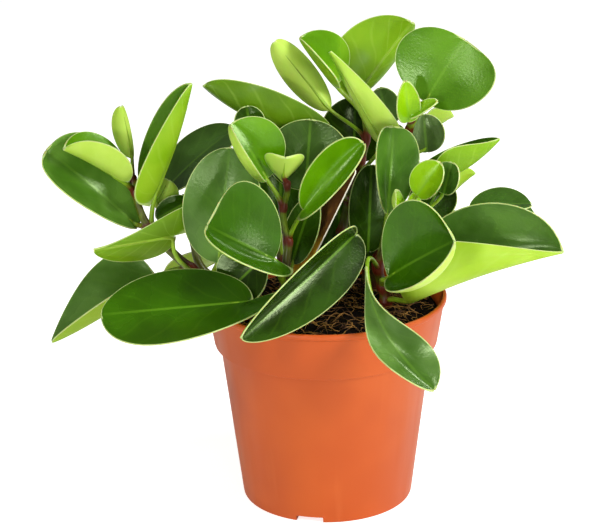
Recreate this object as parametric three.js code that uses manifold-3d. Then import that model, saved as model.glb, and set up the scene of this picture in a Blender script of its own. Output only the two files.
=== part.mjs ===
// A bushy potted peperomia: fleshy oval leaves on branching stems, in a round nursery pot.
// Millimetres, +Z up. The origin is the middle of the pot's underside.

import * as THREE from 'three';
import { mergeVertices } from 'three/addons/utils/BufferGeometryUtils.js';
import Module from 'manifold-3d';

const wasm = await Module();
wasm.setup();

// Pot
const POT_HEIGHT = 105;
const RIM_RADIUS = 60;
const BAND_FOOT_Z = 80.5;
const BAND_FOOT_RADIUS = 55.5;
const BODY_TOP_RADIUS = 52.5;
const BASE_RADIUS = 42.5;
const WALL = 1.8;
const FLOOR_TOP_Z = 5;
const CHANNEL_HEIGHT = 3;
const FOOT_RING_INNER_RADIUS = 37;
const CENTRE_FOOT_RADIUS = 20;
const CHANNEL_DRAFT = 1;
const FOOT_CORNER_IN = 0.3;
const FOOT_CORNER_OUT = 0.2;
const FOOT_CORNER_HEIGHT = 0.8;
const LEDGE_FALL = 0.6;
const LEDGE_RISE = 1.2;
const LIP_SET_BACK = 1.4;
const LIP_DEPTH = 4;
const LIP_EDGE_LOW = 2.4;
const LIP_EDGE_HIGH = 0.6;
const INNER_STEP = 1;
const INNER_FLOOR_EASE = 0.6;
const NOTCH_WIDTH = 13.5;
const NOTCH_COUNT = 3;
const FIRST_NOTCH_DEG = -103;
const DRAIN_HOLE_COUNT = 6;
const DRAIN_HOLE_RADIUS = 4;
const DRAIN_HOLE_CIRCLE = 28.5;
const DRAIN_HOLE_SIDES = 12;
const DRAIN_TOOL_HEIGHT = 20;
const POT_SEGMENTS = 32;

// Soil
const SOIL_Z = 97;
const SOIL_LUMP = 1.6;
const SOIL_EDGE_LUMP_SHARE = 0.3;
const SOIL_SHOULDER_INSET = 0.2;
const SOIL_SHOULDER_Z = BAND_FOOT_Z - 1;
const SOIL_BAND_Z = BAND_FOOT_Z + 2;
const SOIL_BAND_GAPS = 3;
const SOIL_TOP_GAPS = 4;
const SOIL_SEED = 7;
const SOIL_RINGS = 5;
const SOIL_SEGMENTS = 28;

// Gap kept between pieces that touch
const CLEARANCE = 0.3;

// Plant label: a thin card pushed into the soil, leaning to the right
const LABEL_WIDTH = 13;
const LABEL_THICKNESS = 0.8;
const LABEL_TOP = [16, 2, 167];
const LABEL_FOOT = [-24.4, -8.3, 89];
const LABEL_ACROSS = [-0.45, 0.89, 0];

// Leaves
const BLADE_THICKNESS = 1.2;
const BLADE_END_HALF_WIDTH = 0.8;
const STRAIGHT_CURL = 1e-6;
const EVEN_BELLY = 0.5;
const LONG_BLADE = 30;
const LONG_BLADE_STATIONS = 7;
const SHORT_BLADE_STATIONS = 5;
const BLADE_COLUMNS = [-1, -0.55, 0, 0.55, 1];
const OUTLINE_FULLNESS = 1.08;
const PETIOLE_RADIUS = 1.4;
const PETIOLE_TAPER = 0.6;
const PETIOLE_SIDES = 4;
const PETIOLE_STEPS = 3;
const PETIOLE_SINK = 4;
const PETIOLE_DEPTH = 0.4;
const PETIOLE_LEAN = 0.5;

// Stems
const STEM_SIDES = 6;
const STEM_STEP = 9.5;

// The plant: each stem's path from inside the soil, its radius at the foot and at the end, and its
// leaves. Pairs are the left and the right half of a blade, seen from the base on its top side.
// at: share of the stem where the stalk leaves; via: a point that steers the stalk
// base, tip, face: the blade's two ends, and the way that its top side looks
// width: across both halves laid flat; bow: how far the midrib arches, as a share of its length
// fold, curl: a half's tilt at the midrib, and how much the tilt grows to the margin, in degrees
// belly: where a half is widest, as a share of the length; fullness: how blunt its ends are
// lobe, flare: how far the margin reaches back, and up, at the base, as a share of the length
// twist: how far the blade has turned about its midrib at the tip, in degrees
// young: a small leaf that is one piece with its stem
const STEMS = {
  left: {
    path: [[-32, -2, 78], [-42, -2, 99], [-72, -2, 125], [-87, 0, 142], [-92, 1, 157], [-93, 2, 165]],
    radius: [3.2, 1.6],
    leaves: [
      { at: 0.76, base: [-92, 5, 139], tip: [-133.6, -3, 181], face: [0.4, -0.8, 0.5],
        width: 44, bow: 0.04, fold: [26, 8], curl: [25, 10], belly: [0.72, 0.6] },
      { at: 0.94, base: [-98, -4, 166], tip: [-124, -12, 184], face: [-0.2, -0.1, 1], width: 37,
        bow: 0.02, fold: [42, 32], curl: [20, 20], lobe: [0.1, 0.1] },
      { at: 1, base: [-93, 4, 175], tip: [-97, 2, 201], face: [-0.6, 0.7, 0.2], width: 15,
        bow: 0, fold: [40, 40], curl: [20, 20], young: true },
      { at: 0.74, base: [-82, 0, 159], tip: [-63, 2, 211.5], face: [-1, 0, 0.3], width: 35.5,
        bow: -0.03, fold: [62, 34], curl: [20, 20], belly: [0.42, 0.25], lobe: [0.1, 0.15] },
      { at: 0.42, via: [-84, -10, 130], base: [-74, -12, 139.5], tip: [-111, -24, 137],
        face: [0, 1, 0.15], width: 28, bow: 0, fold: [5, 19], curl: [5, 10], belly: [0.05, 0.4],
        fullness: [2, 1.1], lobe: [0.3, 0.05] },
      { at: 0.5, base: [-84, 6, 113], tip: [-135, -12, 86], face: [-0.3, -0.6, 0.8],
        width: 48, bow: 0, fold: [55, 10], curl: [10, 10], belly: [0.4, 0.25], fullness: [1.08, 1.3] },
    ],
  },
  left_inner: {
    path: [[-28, 6, 78], [-36, 6, 99], [-61, 6, 117], [-65, 8, 130], [-68, 12, 142], [-69, 12, 152]],
    radius: [2.8, 1.6],
    leaves: [
      { at: 0.95, base: [-83, 6, 149], tip: [-76, 8, 162], face: [0.3, 0.9, 0.2], width: 18,
        bow: 0, fold: [20, 20], curl: [10, 10] },
      { at: 0.9, base: [-78, 22, 153], tip: [-43, 32, 181], face: [-0.5, -0.35, 0.8], width: 34,
        bow: 0.04, fold: [10, 0], curl: [10, 10] },
      { at: 0.5, base: [-52, -10, 125], tip: [-45, -4, 181], face: [-0.1, -0.95, 0.3],
        width: 40, bow: 0.05, fold: [10, 10], curl: [10, 10] },
      { at: 0.85, base: [-66, 5, 152], tip: [-82, 1.5, 144], face: [0, -0.9, 0.4],
        width: 14, bow: 0.03, fold: [10, 10], curl: [10, 10], young: true },
    ],
  },
  centre: {
    path: [[-19, -14, 78], [-20, -14, 99], [-19, -8, 123], [-18, -6, 134], [-20, -6, 143], [-20, -6, 152],
      [-18, -7, 159], [-18, -8, 164]],
    radius: [2.9, 1.5],
    leaves: [
      { at: 0.35, base: [-25, -36, 135.3], tip: [-55.6, -36, 152.3],
        face: [-0.1, -0.93, 0.35], width: 56, bow: 0.04, fold: [66, 2], curl: [14, 14],
        belly: [0.55, 0.7], fullness: [0.9, 0.75], lobe: [0.3, 0.02] },
      { at: 0.85, base: [-28, -7.8, 166.5], tip: [-44, -9.8, 194.5],
        face: [0.25, -0.75, 0.6], width: 36, bow: 0.05, fold: [-8, 15], curl: [135, 15] },
      { at: 1, base: [-20, -8, 165.5], tip: [-18.5, -17, 179.5], face: [0, 0.65, 0.75],
        width: 21, bow: 0, fold: [20, 20], curl: [10, 10], belly: [0.75, 0.75], fullness: [1.3, 1.3],
        young: true },
      { at: 0.65, base: [-10, -13, 152], tip: [19, -10, 184], face: [-0.25, -0.85, 0.45],
        width: 29, bow: 0.04, fold: [45, 22], curl: [10, 50], belly: [0.58, 0.5], lobe: [0, 0.12] },
      { at: 0.3, base: [-16, 2, 120], tip: [-5, 5, 153], face: [-0.3, -0.9, 0.2], width: 18,
        bow: 0.04, fold: [10, 10], curl: [10, 10] },
      { at: 0.22, base: [-38, -40, 115], tip: [-106.6, -46, 111.8], face: [0, -0.55, 1],
        width: 48, bow: 0, twist: -10, fold: [8, -4], curl: [10, 4], belly: [0.58, 0.42],
        lobe: [0.3, 0.05], flare: [0.12, 0] },
      { at: 0.4, base: [-30, -21, 130], tip: [-48, -21.6, 112.5], face: [0.1, -0.6, 0.8],
        width: 31, bow: 0.04, fold: [10, 10], curl: [10, 10] },
    ],
  },
  right: {
    path: [[28, 2, 78], [30, 2, 99], [26, 1, 119], [28, 0, 124], [33, 0, 135], [35, 0, 140], [36, 0, 146]],
    radius: [3.2, 1.6],
    leaves: [
      { at: 0.6, base: [31, 8, 143], tip: [34.5, 16, 185], face: [0.1, -0.95, 0.25],
        width: 28, bow: 0.03, fold: [38, 10], curl: [20, 10], belly: [0.7, 0.62] },
      { at: 0.95, base: [45, -5, 156], tip: [56, -8, 173], face: [-0.2, -0.9, 0.4],
        width: 18, bow: 0.03, fold: [10, 25], curl: [10, 10], young: true },
      { at: 1, base: [40.5, -3, 144.5], tip: [34.5, -6, 159], face: [0.8, -0.4, 0.3],
        width: 13, bow: -0.25, fold: [25, 25], curl: [15, 15], young: true },
      { at: 1, base: [42.5, -3, 146], tip: [44.5, -3, 157], face: [0, -0.9, 0.4], width: 7,
        bow: 0.02, fold: [10, 10], curl: [10, 10], young: true },
      { at: 0.85, base: [58, -6, 157], tip: [62, -4, 172], face: [-0.4, -0.8, 0.4],
        width: 18, bow: 0.03, fold: [10, 20], curl: [10, 20] },
      { at: 0.42, base: [30, -32, 123.6], tip: [60, -47, 146], face: [-0.15, -0.65, 0.75],
        width: 57, bow: 0.03, fold: [24, -17], curl: [24, 104], belly: [0.62, 0.6], lobe: [0, 0.05] },
      { at: 0.3, base: [41, -16, 105.5], tip: [113, -30, 134.2], face: [0, -0.1, 1],
        width: 74, bow: 0.03, fold: [54, 52], curl: [30, 52], belly: [0.5, 0.15], fullness: [1, 1.65] },
      { at: 0.56, base: [19, -38, 131], tip: [48, -88.5, 88.5], face: [-0.95, -0.05, 0.2],
        width: 27, bow: 0.1, twist: -80, fold: [20, 36], curl: [10, 15], belly: [0.76, 0.76],
        fullness: [2.4, 2.2] },
    ],
  },
  upper_right: {
    path: [[20, 26, 78], [24, 28, 99], [32, 30, 130], [38, 29, 160], [43, 22, 184], [44, 16, 191]],
    radius: [3.2, 1.6],
    leaves: [
      { at: 0.9, base: [50, 13, 198], tip: [69, 14, 228], face: [-0.3, -0.85, 0.45],
        width: 52.5, bow: 0.04, fold: [8, 0], curl: [5, 14], belly: [0.5, 0.66], fullness: [0.9, 0.8] },
      { at: 1, base: [41, 6, 190], tip: [39.5, 3, 211], face: [0.3, -0.8, 0.3], width: 14,
        bow: 0, fold: [15, 30], curl: [10, 10], belly: [0.4, 0.4], young: true },
      { at: 0.965, base: [42.4, 5, 192.3], tip: [55, 2, 201], face: [-0.3, -0.5, 0.8],
        width: 9, bow: 0, fold: [25, 25], curl: [10, 10], young: true },
      { at: 0.75, base: [52, 30, 168], tip: [50.5, 32, 187], face: [-0.2, -0.9, 0.4],
        width: 21, bow: 0.04, fold: [10, 10], curl: [10, 10] },
      { at: 0.6, base: [52, 8, 159], tip: [87, 20, 177], face: [0, -0.1, 1], width: 38,
        bow: -0.08, fold: [5, 64], curl: [10, 20], belly: [0.38, 0.3], fullness: [1.2, 1.6],
        lobe: [0.1, 0] },
      { at: 0.6, via: [42, 42, 162], base: [51, 42, 174], tip: [66, 46, 182], face: [0, 0.3, 0.9], width: 24,
        bow: 0.03, fold: [30, 40], curl: [10, 10] },
      { at: 0.5, base: [62, 28, 145], tip: [76, 32, 156], face: [0, 0.3, 0.9], width: 22,
        bow: 0.03, fold: [30, 40], curl: [10, 10] },
      { at: 0.4, base: [73, 24, 137], tip: [104, 26, 141], face: [0, -0.15, 1], width: 30,
        bow: 0.05, fold: [10, 10], curl: [10, 10] },
      { at: 0.3, base: [89, 34, 130], tip: [107, 36, 133], face: [0, -0.3, 0.9], width: 20,
        bow: 0.03, fold: [10, 10], curl: [10, 10] },
      { at: 0.45, base: [50, 16, 138], tip: [60, 22, 156], face: [-0.2, -0.8, 0.5], width: 26,
        bow: 0.03, fold: [10, 10], curl: [10, 10] },
    ],
  },
  crown: {
    path: [[4, 28, 78], [5, 30, 99], [10, 33, 130], [17, 34, 155], [22, 35, 175], [22, 35, 184]],
    radius: [3.2, 1.6],
    leaves: [
      { at: 0.35, base: [13, -17.5, 139.5], tip: [-40, -67.5, 107], face: [0.5, -0.7, 0.5],
        width: 35, bow: 0.04, fold: [12, 50], curl: [12, 20], belly: [0.42, 0.42], lobe: [0.04, 0.04] },
      { at: 0.92, base: [19, 42, 197], tip: [45, 46, 230.5], face: [0.1, 0.9, 0.3],
        width: 47, bow: 0.03, fold: [60, 5], curl: [10, 5], belly: [0.5, 0.38], fullness: [0.8, 0.9],
        lobe: [0, 0.15] },
      { at: 1, base: [7, 35, 201.5], tip: [-10.5, 29, 227.2], face: [0.4, -0.5, 0.7],
        width: 37, bow: 0.03, fold: [34, 20], curl: [20, 10], belly: [0.5, 0.4] },
      { at: 0.9, base: [3.2, 29, 191], tip: [-23, 27, 226], face: [-0.4, 0.8, 0.3],
        width: 19.5, bow: 0.03, fold: [30, 25], curl: [10, 10] },
      { at: 0.8, base: [4, 26, 179], tip: [-57.5, 12, 208.2], face: [0, 0.2, 1], width: 40,
        bow: -0.09, fold: [50, 5], curl: [20, 5] },
      { at: 0.7, base: [29.5, 21, 176.5], tip: [4, 25, 221], face: [0.5, 0.8, 0.3],
        width: 23, bow: 0, fold: [26, 26], curl: [10, 10], belly: [0.1, 0.1], fullness: [1, 1] },
      { at: 0.6, base: [-9, 7, 156], tip: [-6, 13, 190], face: [0, -0.95, 0.3], width: 42,
        bow: 0.05, fold: [10, 10], curl: [10, 10] },
      { at: 0.75, base: [16, 56, 156], tip: [17, 57, 190], face: [0, -0.95, 0.3], width: 36,
        bow: 0.05, fold: [10, 10], curl: [10, 10] },
      { at: 0.75, base: [-34, 4, 183], tip: [-37, 6, 199], face: [0, -0.95, 0.3], width: 16,
        bow: 0.05, fold: [10, 10], curl: [10, 10] },
      { at: 0.45, base: [22, 21, 119], tip: [24, 26, 163], face: [0, -0.95, 0.3], width: 22,
        bow: 0.05, fold: [8, 8], curl: [10, 10] },
    ],
  },
  back_left: {
    path: [[-14, 22, 78], [-16, 24, 99], [-28, 38, 128], [-37, 48, 148], [-39, 52, 158]],
    radius: [3, 1.6],
    leaves: [
      { at: 0.8, base: [-38, 58, 150], tip: [-60, 82, 150], face: [-0.2, 0.3, 0.9], width: 36,
        bow: 0.06, fold: [15, 15], curl: [15, 15] },
      { at: 0.95, base: [-30, 62, 162], tip: [-27, 96, 160], face: [0, 0.4, 0.9], width: 38,
        bow: 0.08, fold: [15, 15], curl: [15, 15] },
      { at: 0.3, base: [-42, 56, 108], tip: [-78, 78, 82], face: [-0.3, 0.4, 0.85], width: 46,
        bow: 0.06, fold: [10, 10], curl: [15, 15] },
      { at: 0.5, base: [-14, 64, 132], tip: [-8, 102, 112], face: [0, 0.5, 0.85], width: 42,
        bow: 0.06, fold: [10, 10], curl: [15, 15] },
      { at: 0.6, base: [-38, 58, 130], tip: [-62, 92, 116], face: [-0.2, 0.4, 0.85], width: 40,
        bow: 0.06, fold: [12, 12], curl: [15, 15] },
      { at: 0.4, base: [-22, 30, 128], tip: [-21, 36, 168], face: [0, -0.9, 0.3], width: 36,
        bow: 0.05, fold: [10, 10], curl: [10, 10] },
      { at: 1, base: [-40, 52, 162], tip: [-46, 44, 175], face: [0.3, 0.6, 0.7], width: 16,
        bow: 0, fold: [40, 40], curl: [10, 10], young: true },
    ],
  },
  back_right: {
    path: [[20, 40, 78], [22, 41, 99], [30, 48, 125], [34, 54, 148], [35, 57, 158]],
    radius: [3, 1.6],
    leaves: [
      { at: 0.85, base: [41, 62, 148], tip: [54, 90, 144], face: [0.2, 0.4, 0.9], width: 36,
        bow: 0.06, fold: [15, 15], curl: [15, 15] },
      { at: 0.6, base: [48, 58, 126], tip: [82, 74, 112], face: [0.3, 0.3, 0.9], width: 42,
        bow: 0.06, fold: [10, 10], curl: [15, 15] },
      { at: 0.5, base: [36, 66, 118], tip: [50, 100, 100], face: [0.2, 0.5, 0.85], width: 46,
        bow: 0.06, fold: [10, 10], curl: [15, 15] },
      { at: 0.95, base: [28, 64, 158], tip: [20, 96, 160], face: [0, 0.4, 0.9], width: 40,
        bow: 0.08, fold: [15, 15], curl: [15, 15] },
      { at: 0.7, base: [10, 62, 142], tip: [0, 90, 140], face: [0, 0.4, 0.9], width: 38,
        bow: 0.06, fold: [15, 15], curl: [15, 15] },
      { at: 0.3, base: [9.6, 39.5, 108], tip: [7, 44, 150], face: [0, -0.9, 0.3], width: 38,
        bow: 0.05, fold: [10, 10], curl: [10, 10] },
      { at: 1, base: [36, 58, 162], tip: [40, 50, 174], face: [-0.3, 0.6, 0.7], width: 14,
        bow: 0, fold: [40, 40], curl: [10, 10], young: true },
      { at: 1, via: [38, 52, 168], base: [34, 49, 177], tip: [29, 47, 197],
        face: [0, -0.95, 0.3], width: 17, bow: 0.03, fold: [10, 10], curl: [10, 10], young: true },
      { at: 0.3, base: [24, 33.5, 105], tip: [21, 34, 118], face: [0, -0.95, 0.3], width: 11,
        bow: 0.03, fold: [10, 10], curl: [10, 10], young: true },
    ],
  },
};

const deg = THREE.MathUtils.degToRad;
const vec = (p) => new THREE.Vector3(...p);

// A small seeded generator, so that the soil comes out the same each time
function seededRandom(seed) {
  let state = seed;
  return () => {
    state = (Math.imul(state, 1664525) + 1013904223) >>> 0;
    return state / 2 ** 32;
  };
}

// Solids and meshes

function toSolid(geometry) {
  const bare = geometry.index ? geometry.clone() : geometry;
  for (const name of Object.keys(bare.attributes)) {
    if (name !== 'position') bare.deleteAttribute(name);
  }
  const merged = mergeVertices(bare, 1e-4);
  const position = merged.getAttribute('position');
  const triVerts = new Uint32Array(merged.getIndex().array);
  const vertProperties = new Float32Array(position.array);
  return new wasm.Manifold(new wasm.Mesh({ numProp: 3, vertProperties, triVerts }));
}

function toGeometry(solid) {
  const { vertProperties, triVerts, numProp } = solid.getMesh();
  const positions = new Float32Array(triVerts.length * 3);
  triVerts.forEach((vertex, corner) => {
    for (let axis = 0; axis < 3; axis += 1) {
      positions[corner * 3 + axis] = vertProperties[vertex * numProp + axis];
    }
  });
  const geometry = new THREE.BufferGeometry();
  geometry.setAttribute('position', new THREE.BufferAttribute(positions, 3));
  geometry.computeVertexNormals();
  return geometry;
}

// Rows of points joined by triangles; rows and columns may close on themselves
function stitch(points, faces) {
  const positions = faces.flatMap((face) => face.flatMap((index) => points[index].toArray()));
  const geometry = new THREE.BufferGeometry();
  geometry.setAttribute('position', new THREE.Float32BufferAttribute(positions, 3));
  return geometry;
}

// A closed tube along a curve, whose radius runs evenly from the first end to the last
function tube(curve, startRadius, endRadius, sides, steps) {
  const frames = curve.computeFrenetFrames(steps, false);
  const points = [];
  for (let step = 0; step <= steps; step += 1) {
    const centre = curve.getPointAt(step / steps);
    const radius = THREE.MathUtils.lerp(startRadius, endRadius, step / steps);
    for (let side = 0; side < sides; side += 1) {
      const angle = (2 * Math.PI * side) / sides;
      points.push(centre.clone()
        .addScaledVector(frames.normals[step], radius * Math.cos(angle))
        .addScaledVector(frames.binormals[step], radius * Math.sin(angle)));
    }
  }
  const faces = [];
  for (let step = 0; step < steps; step += 1) {
    for (let side = 0; side < sides; side += 1) {
      const next = (side + 1) % sides;
      const [a, b] = [step * sides + side, step * sides + next];
      faces.push([a, b, b + sides], [a, b + sides, a + sides]);
    }
  }
  for (let side = 1; side < sides - 1; side += 1) {
    const last = steps * sides;
    faces.push([0, side + 1, side], [last, last + side, last + side + 1]);
  }
  return stitch(points, faces);
}

// Leaf blades

// Half the width of a blade, as a share of its greatest, at a share of its length
function outline(share, belly, fullness) {
  const rise = belly * fullness;
  const fall = (1 - belly) * fullness;
  const peak = belly ** rise * (1 - belly) ** fall;
  return (share ** rise * (1 - share) ** fall) / peak;
}

// The midrib's frame: where it runs, which way the top side looks, and which way is left
function bladeFrame(leaf) {
  const base = vec(leaf.base);
  const chord = vec(leaf.tip).sub(base);
  const length = chord.length();
  const along = chord.normalize();
  const face = vec(leaf.face);
  const up = face.addScaledVector(along, -face.dot(along)).normalize();
  const left = new THREE.Vector3().crossVectors(up, along);
  return { base, length, along, up, left };
}

// A point of the blade: share 0..1 from base to tip, side -1 (right margin) to 1 (left margin),
// lifted off the middle surface
function bladePoint(leaf, frame, share, side, lift) {
  const slope = 4 * leaf.bow * (1 - 2 * share);
  const upHere = frame.up.clone().addScaledVector(frame.along, -slope).normalize();
  const sign = side < 0 ? -1 : 1;
  const half = side < 0 ? 1 : 0;
  const reach = Math.abs(side);
  const fold = deg(leaf.fold[half]);
  const curl = deg(leaf.curl[half]) || STRAIGHT_CURL;
  const belly = leaf.belly ? leaf.belly[half] : EVEN_BELLY;
  const shape = outline(share, belly, leaf.fullness ? leaf.fullness[half] : OUTLINE_FULLNESS);
  const width = BLADE_END_HALF_WIDTH + (leaf.width / 2 - BLADE_END_HALF_WIDTH) * shape;
  const turned = fold + curl * reach;
  const across = (width * (Math.sin(turned) - Math.sin(fold))) / curl;
  const raised = (width * (Math.cos(fold) - Math.cos(turned))) / curl;
  const tilt = reach === 0 ? 0 : turned;
  const twist = deg((leaf.twist ?? 0) * share * share * (3 - 2 * share));
  const lobe = leaf.lobe ? leaf.lobe[half] : 0;
  const setBack = lobe * reach * reach * (1 - share) ** 2;
  const flare = (leaf.flare ? leaf.flare[half] : 0) * frame.length * reach * reach * (1 - share) ** 3;
  const tangent = frame.along.clone().addScaledVector(frame.up, slope).normalize();
  const leftHere = frame.left.clone().applyAxisAngle(tangent, twist);
  upHere.applyAxisAngle(tangent, twist);
  return frame.base.clone()
    .addScaledVector(frame.along, frame.length * (share - setBack))
    .addScaledVector(frame.up, 4 * leaf.bow * frame.length * share * (1 - share))
    .addScaledVector(leftHere, sign * (across - lift * Math.sin(tilt)))
    .addScaledVector(upHere, raised + flare + lift * Math.cos(tilt));
}

// The blade as a closed sheet, with the same diagonals on both faces
function blade(leaf) {
  const frame = bladeFrame(leaf);
  const columns = BLADE_COLUMNS.length;
  const stations = frame.length >= LONG_BLADE ? LONG_BLADE_STATIONS : SHORT_BLADE_STATIONS;
  const points = [];
  for (const lift of [BLADE_THICKNESS / 2, -BLADE_THICKNESS / 2]) {
    for (let station = 0; station <= stations; station += 1) {
      const share = (1 - Math.cos((Math.PI * station) / stations)) / 2;
      for (const side of BLADE_COLUMNS) points.push(bladePoint(leaf, frame, share, side, lift));
    }
  }
  const under = (stations + 1) * columns;
  const faces = [];
  const quad = (a, b, c, d) => faces.push([a, b, c], [a, c, d]);
  for (let station = 0; station < stations; station += 1) {
    for (let column = 0; column < columns - 1; column += 1) {
      const a = station * columns + column;
      const [b, c, d] = [a + columns, a + columns + 1, a + 1];
      quad(a, b, c, d);
      faces.push([under + a, under + c, under + b], [under + a, under + d, under + c]);
    }
    const right = station * columns;
    const left = right + columns - 1;
    quad(right, under + right, under + right + columns, right + columns);
    quad(left, left + columns, under + left + columns, under + left);
  }
  for (let column = 0; column < columns - 1; column += 1) {
    const tip = stations * columns + column;
    quad(column, column + 1, under + column + 1, under + column);
    quad(tip, under + tip, under + tip + 1, tip + 1);
  }
  return toSolid(stitch(points, faces));
}

// The leaf stalk: from the middle of the stem, in a smooth bend, to just under the midrib
function petiole(leaf, stemCurve) {
  const frame = bladeFrame(leaf);
  const start = stemCurve.getPointAt(leaf.at);
  const stemDirection = stemCurve.getTangentAt(leaf.at);
  const arrival = frame.along.clone().addScaledVector(frame.up, 4 * leaf.bow).normalize();
  const end = frame.base.clone()
    .addScaledVector(arrival, PETIOLE_SINK)
    .addScaledVector(frame.up, -PETIOLE_DEPTH);
  const reach = start.distanceTo(end) / 3;
  const leave = end.clone().sub(start).normalize().addScaledVector(stemDirection, PETIOLE_LEAN).normalize();
  const curve = new THREE.CubicBezierCurve3(
    start,
    leaf.via ? vec(leaf.via) : start.clone().addScaledVector(leave, reach),
    end.clone().addScaledVector(arrival, -reach),
    end,
  );
  const endRadius = PETIOLE_RADIUS * PETIOLE_TAPER;
  return toSolid(tube(curve, PETIOLE_RADIUS, endRadius, PETIOLE_SIDES, PETIOLE_STEPS));
}

function leafSolid(leaf, stemCurve) {
  return blade(leaf).add(petiole(leaf, stemCurve));
}

// Stems

function stemCurve(stem) {
  return new THREE.CatmullRomCurve3(stem.path.map(vec), false, 'centripetal');
}

function stemSolid(stem, growth = 0) {
  const curve = stemCurve(stem);
  const steps = Math.round(curve.getLength() / STEM_STEP);
  const [footRadius, endRadius] = stem.radius;
  return toSolid(tube(curve, footRadius + growth, endRadius + growth, STEM_SIDES, steps));
}

// Pot

function latheSolid(profile, segments) {
  const points = profile.map(([radius, z]) => new THREE.Vector2(radius, z));
  const geometry = new THREE.LatheGeometry(points, segments);
  geometry.rotateX(Math.PI / 2);
  return toSolid(geometry);
}

function potSolid() {
  const innerBandRadius = BAND_FOOT_RADIUS - WALL;
  const profile = [
    [0, 0],
    [CENTRE_FOOT_RADIUS, 0],
    [CENTRE_FOOT_RADIUS + CHANNEL_DRAFT, CHANNEL_HEIGHT],
    [FOOT_RING_INNER_RADIUS - CHANNEL_DRAFT, CHANNEL_HEIGHT],
    [FOOT_RING_INNER_RADIUS, 0],
    [BASE_RADIUS - FOOT_CORNER_IN, 0],
    [BASE_RADIUS + FOOT_CORNER_OUT, FOOT_CORNER_HEIGHT],
    [BODY_TOP_RADIUS, BAND_FOOT_Z - LEDGE_FALL],
    [BAND_FOOT_RADIUS - LEDGE_FALL, BAND_FOOT_Z],
    [BAND_FOOT_RADIUS, BAND_FOOT_Z + LEDGE_RISE],
    [RIM_RADIUS - LIP_SET_BACK, POT_HEIGHT - LIP_DEPTH],
    [RIM_RADIUS, POT_HEIGHT - LIP_EDGE_LOW],
    [RIM_RADIUS, POT_HEIGHT - LIP_EDGE_HIGH],
    [RIM_RADIUS - WALL, POT_HEIGHT],
    [innerBandRadius, BAND_FOOT_Z + INNER_STEP],
    [BODY_TOP_RADIUS - WALL, BAND_FOOT_Z - INNER_STEP],
    [BASE_RADIUS - WALL + INNER_FLOOR_EASE, FLOOR_TOP_Z],
    [0, FLOOR_TOP_Z],
  ];
  let solid = latheSolid(profile, POT_SEGMENTS);
  for (let index = 0; index < NOTCH_COUNT; index += 1) {
    const notch = new THREE.BoxGeometry(BASE_RADIUS, NOTCH_WIDTH, 2 * CHANNEL_HEIGHT);
    notch.translate(FOOT_RING_INNER_RADIUS - 2 + BASE_RADIUS / 2, 0, 0);
    notch.rotateZ(deg(FIRST_NOTCH_DEG + (360 / NOTCH_COUNT) * index));
    solid = solid.subtract(toSolid(notch));
  }
  for (let index = 0; index < DRAIN_HOLE_COUNT; index += 1) {
    const hole = new THREE.CylinderGeometry(
      DRAIN_HOLE_RADIUS,
      DRAIN_HOLE_RADIUS,
      DRAIN_TOOL_HEIGHT,
      DRAIN_HOLE_SIDES,
    );
    hole.rotateX(Math.PI / 2);
    hole.translate(DRAIN_HOLE_CIRCLE, 0, 0);
    hole.rotateZ(deg(FIRST_NOTCH_DEG + (360 / DRAIN_HOLE_COUNT) * index));
    solid = solid.subtract(toSolid(hole));
  }
  return solid;
}

// Potting soil: it fills the pot to just under the rim, with a lumpy top
function soilSolid() {
  const random = seededRandom(SOIL_SEED);
  const innerSlope = (BODY_TOP_RADIUS - BASE_RADIUS) / BAND_FOOT_Z;
  const floorZ = FLOOR_TOP_Z + CLEARANCE;
  const floorRadius = BASE_RADIUS - WALL + innerSlope * floorZ - CLEARANCE;
  const shoulderRadius = BODY_TOP_RADIUS - WALL - CLEARANCE - SOIL_SHOULDER_INSET;
  const bandSlope = (RIM_RADIUS - BAND_FOOT_RADIUS) / (POT_HEIGHT - BAND_FOOT_Z);
  const innerTopRadius = BAND_FOOT_RADIUS - WALL + bandSlope * (SOIL_Z - BAND_FOOT_Z);
  const topRadius = innerTopRadius - SOIL_TOP_GAPS * CLEARANCE;
  const rows = [
    { radius: floorRadius, z: floorZ },
    { radius: shoulderRadius, z: SOIL_SHOULDER_Z },
    { radius: BAND_FOOT_RADIUS - WALL - SOIL_BAND_GAPS * CLEARANCE, z: SOIL_BAND_Z },
  ];
  for (let ring = 0; ring < SOIL_RINGS; ring += 1) {
    const lump = ring === 0 ? SOIL_EDGE_LUMP_SHARE : 1;
    rows.push({ radius: topRadius * (1 - ring / SOIL_RINGS), z: SOIL_Z, lump });
  }
  const points = [];
  for (const row of rows) {
    for (let segment = 0; segment < SOIL_SEGMENTS; segment += 1) {
      const angle = (2 * Math.PI * segment) / SOIL_SEGMENTS;
      const z = row.z + (row.lump ?? 0) * SOIL_LUMP * (2 * random() - 1);
      points.push(new THREE.Vector3(row.radius * Math.cos(angle), row.radius * Math.sin(angle), z));
    }
  }
  const floorCentre = points.push(new THREE.Vector3(0, 0, floorZ)) - 1;
  const topCentre = points.push(new THREE.Vector3(0, 0, SOIL_Z)) - 1;
  const faces = [];
  for (let row = 0; row < rows.length - 1; row += 1) {
    for (let segment = 0; segment < SOIL_SEGMENTS; segment += 1) {
      const next = (segment + 1) % SOIL_SEGMENTS;
      const [a, b] = [row * SOIL_SEGMENTS + segment, row * SOIL_SEGMENTS + next];
      faces.push([a, b, b + SOIL_SEGMENTS], [a, b + SOIL_SEGMENTS, a + SOIL_SEGMENTS]);
    }
  }
  const lastRow = (rows.length - 1) * SOIL_SEGMENTS;
  for (let segment = 0; segment < SOIL_SEGMENTS; segment += 1) {
    const next = (segment + 1) % SOIL_SEGMENTS;
    faces.push([floorCentre, next, segment], [topCentre, lastRow + segment, lastRow + next]);
  }
  return toSolid(stitch(points, faces));
}

// Plant label

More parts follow.
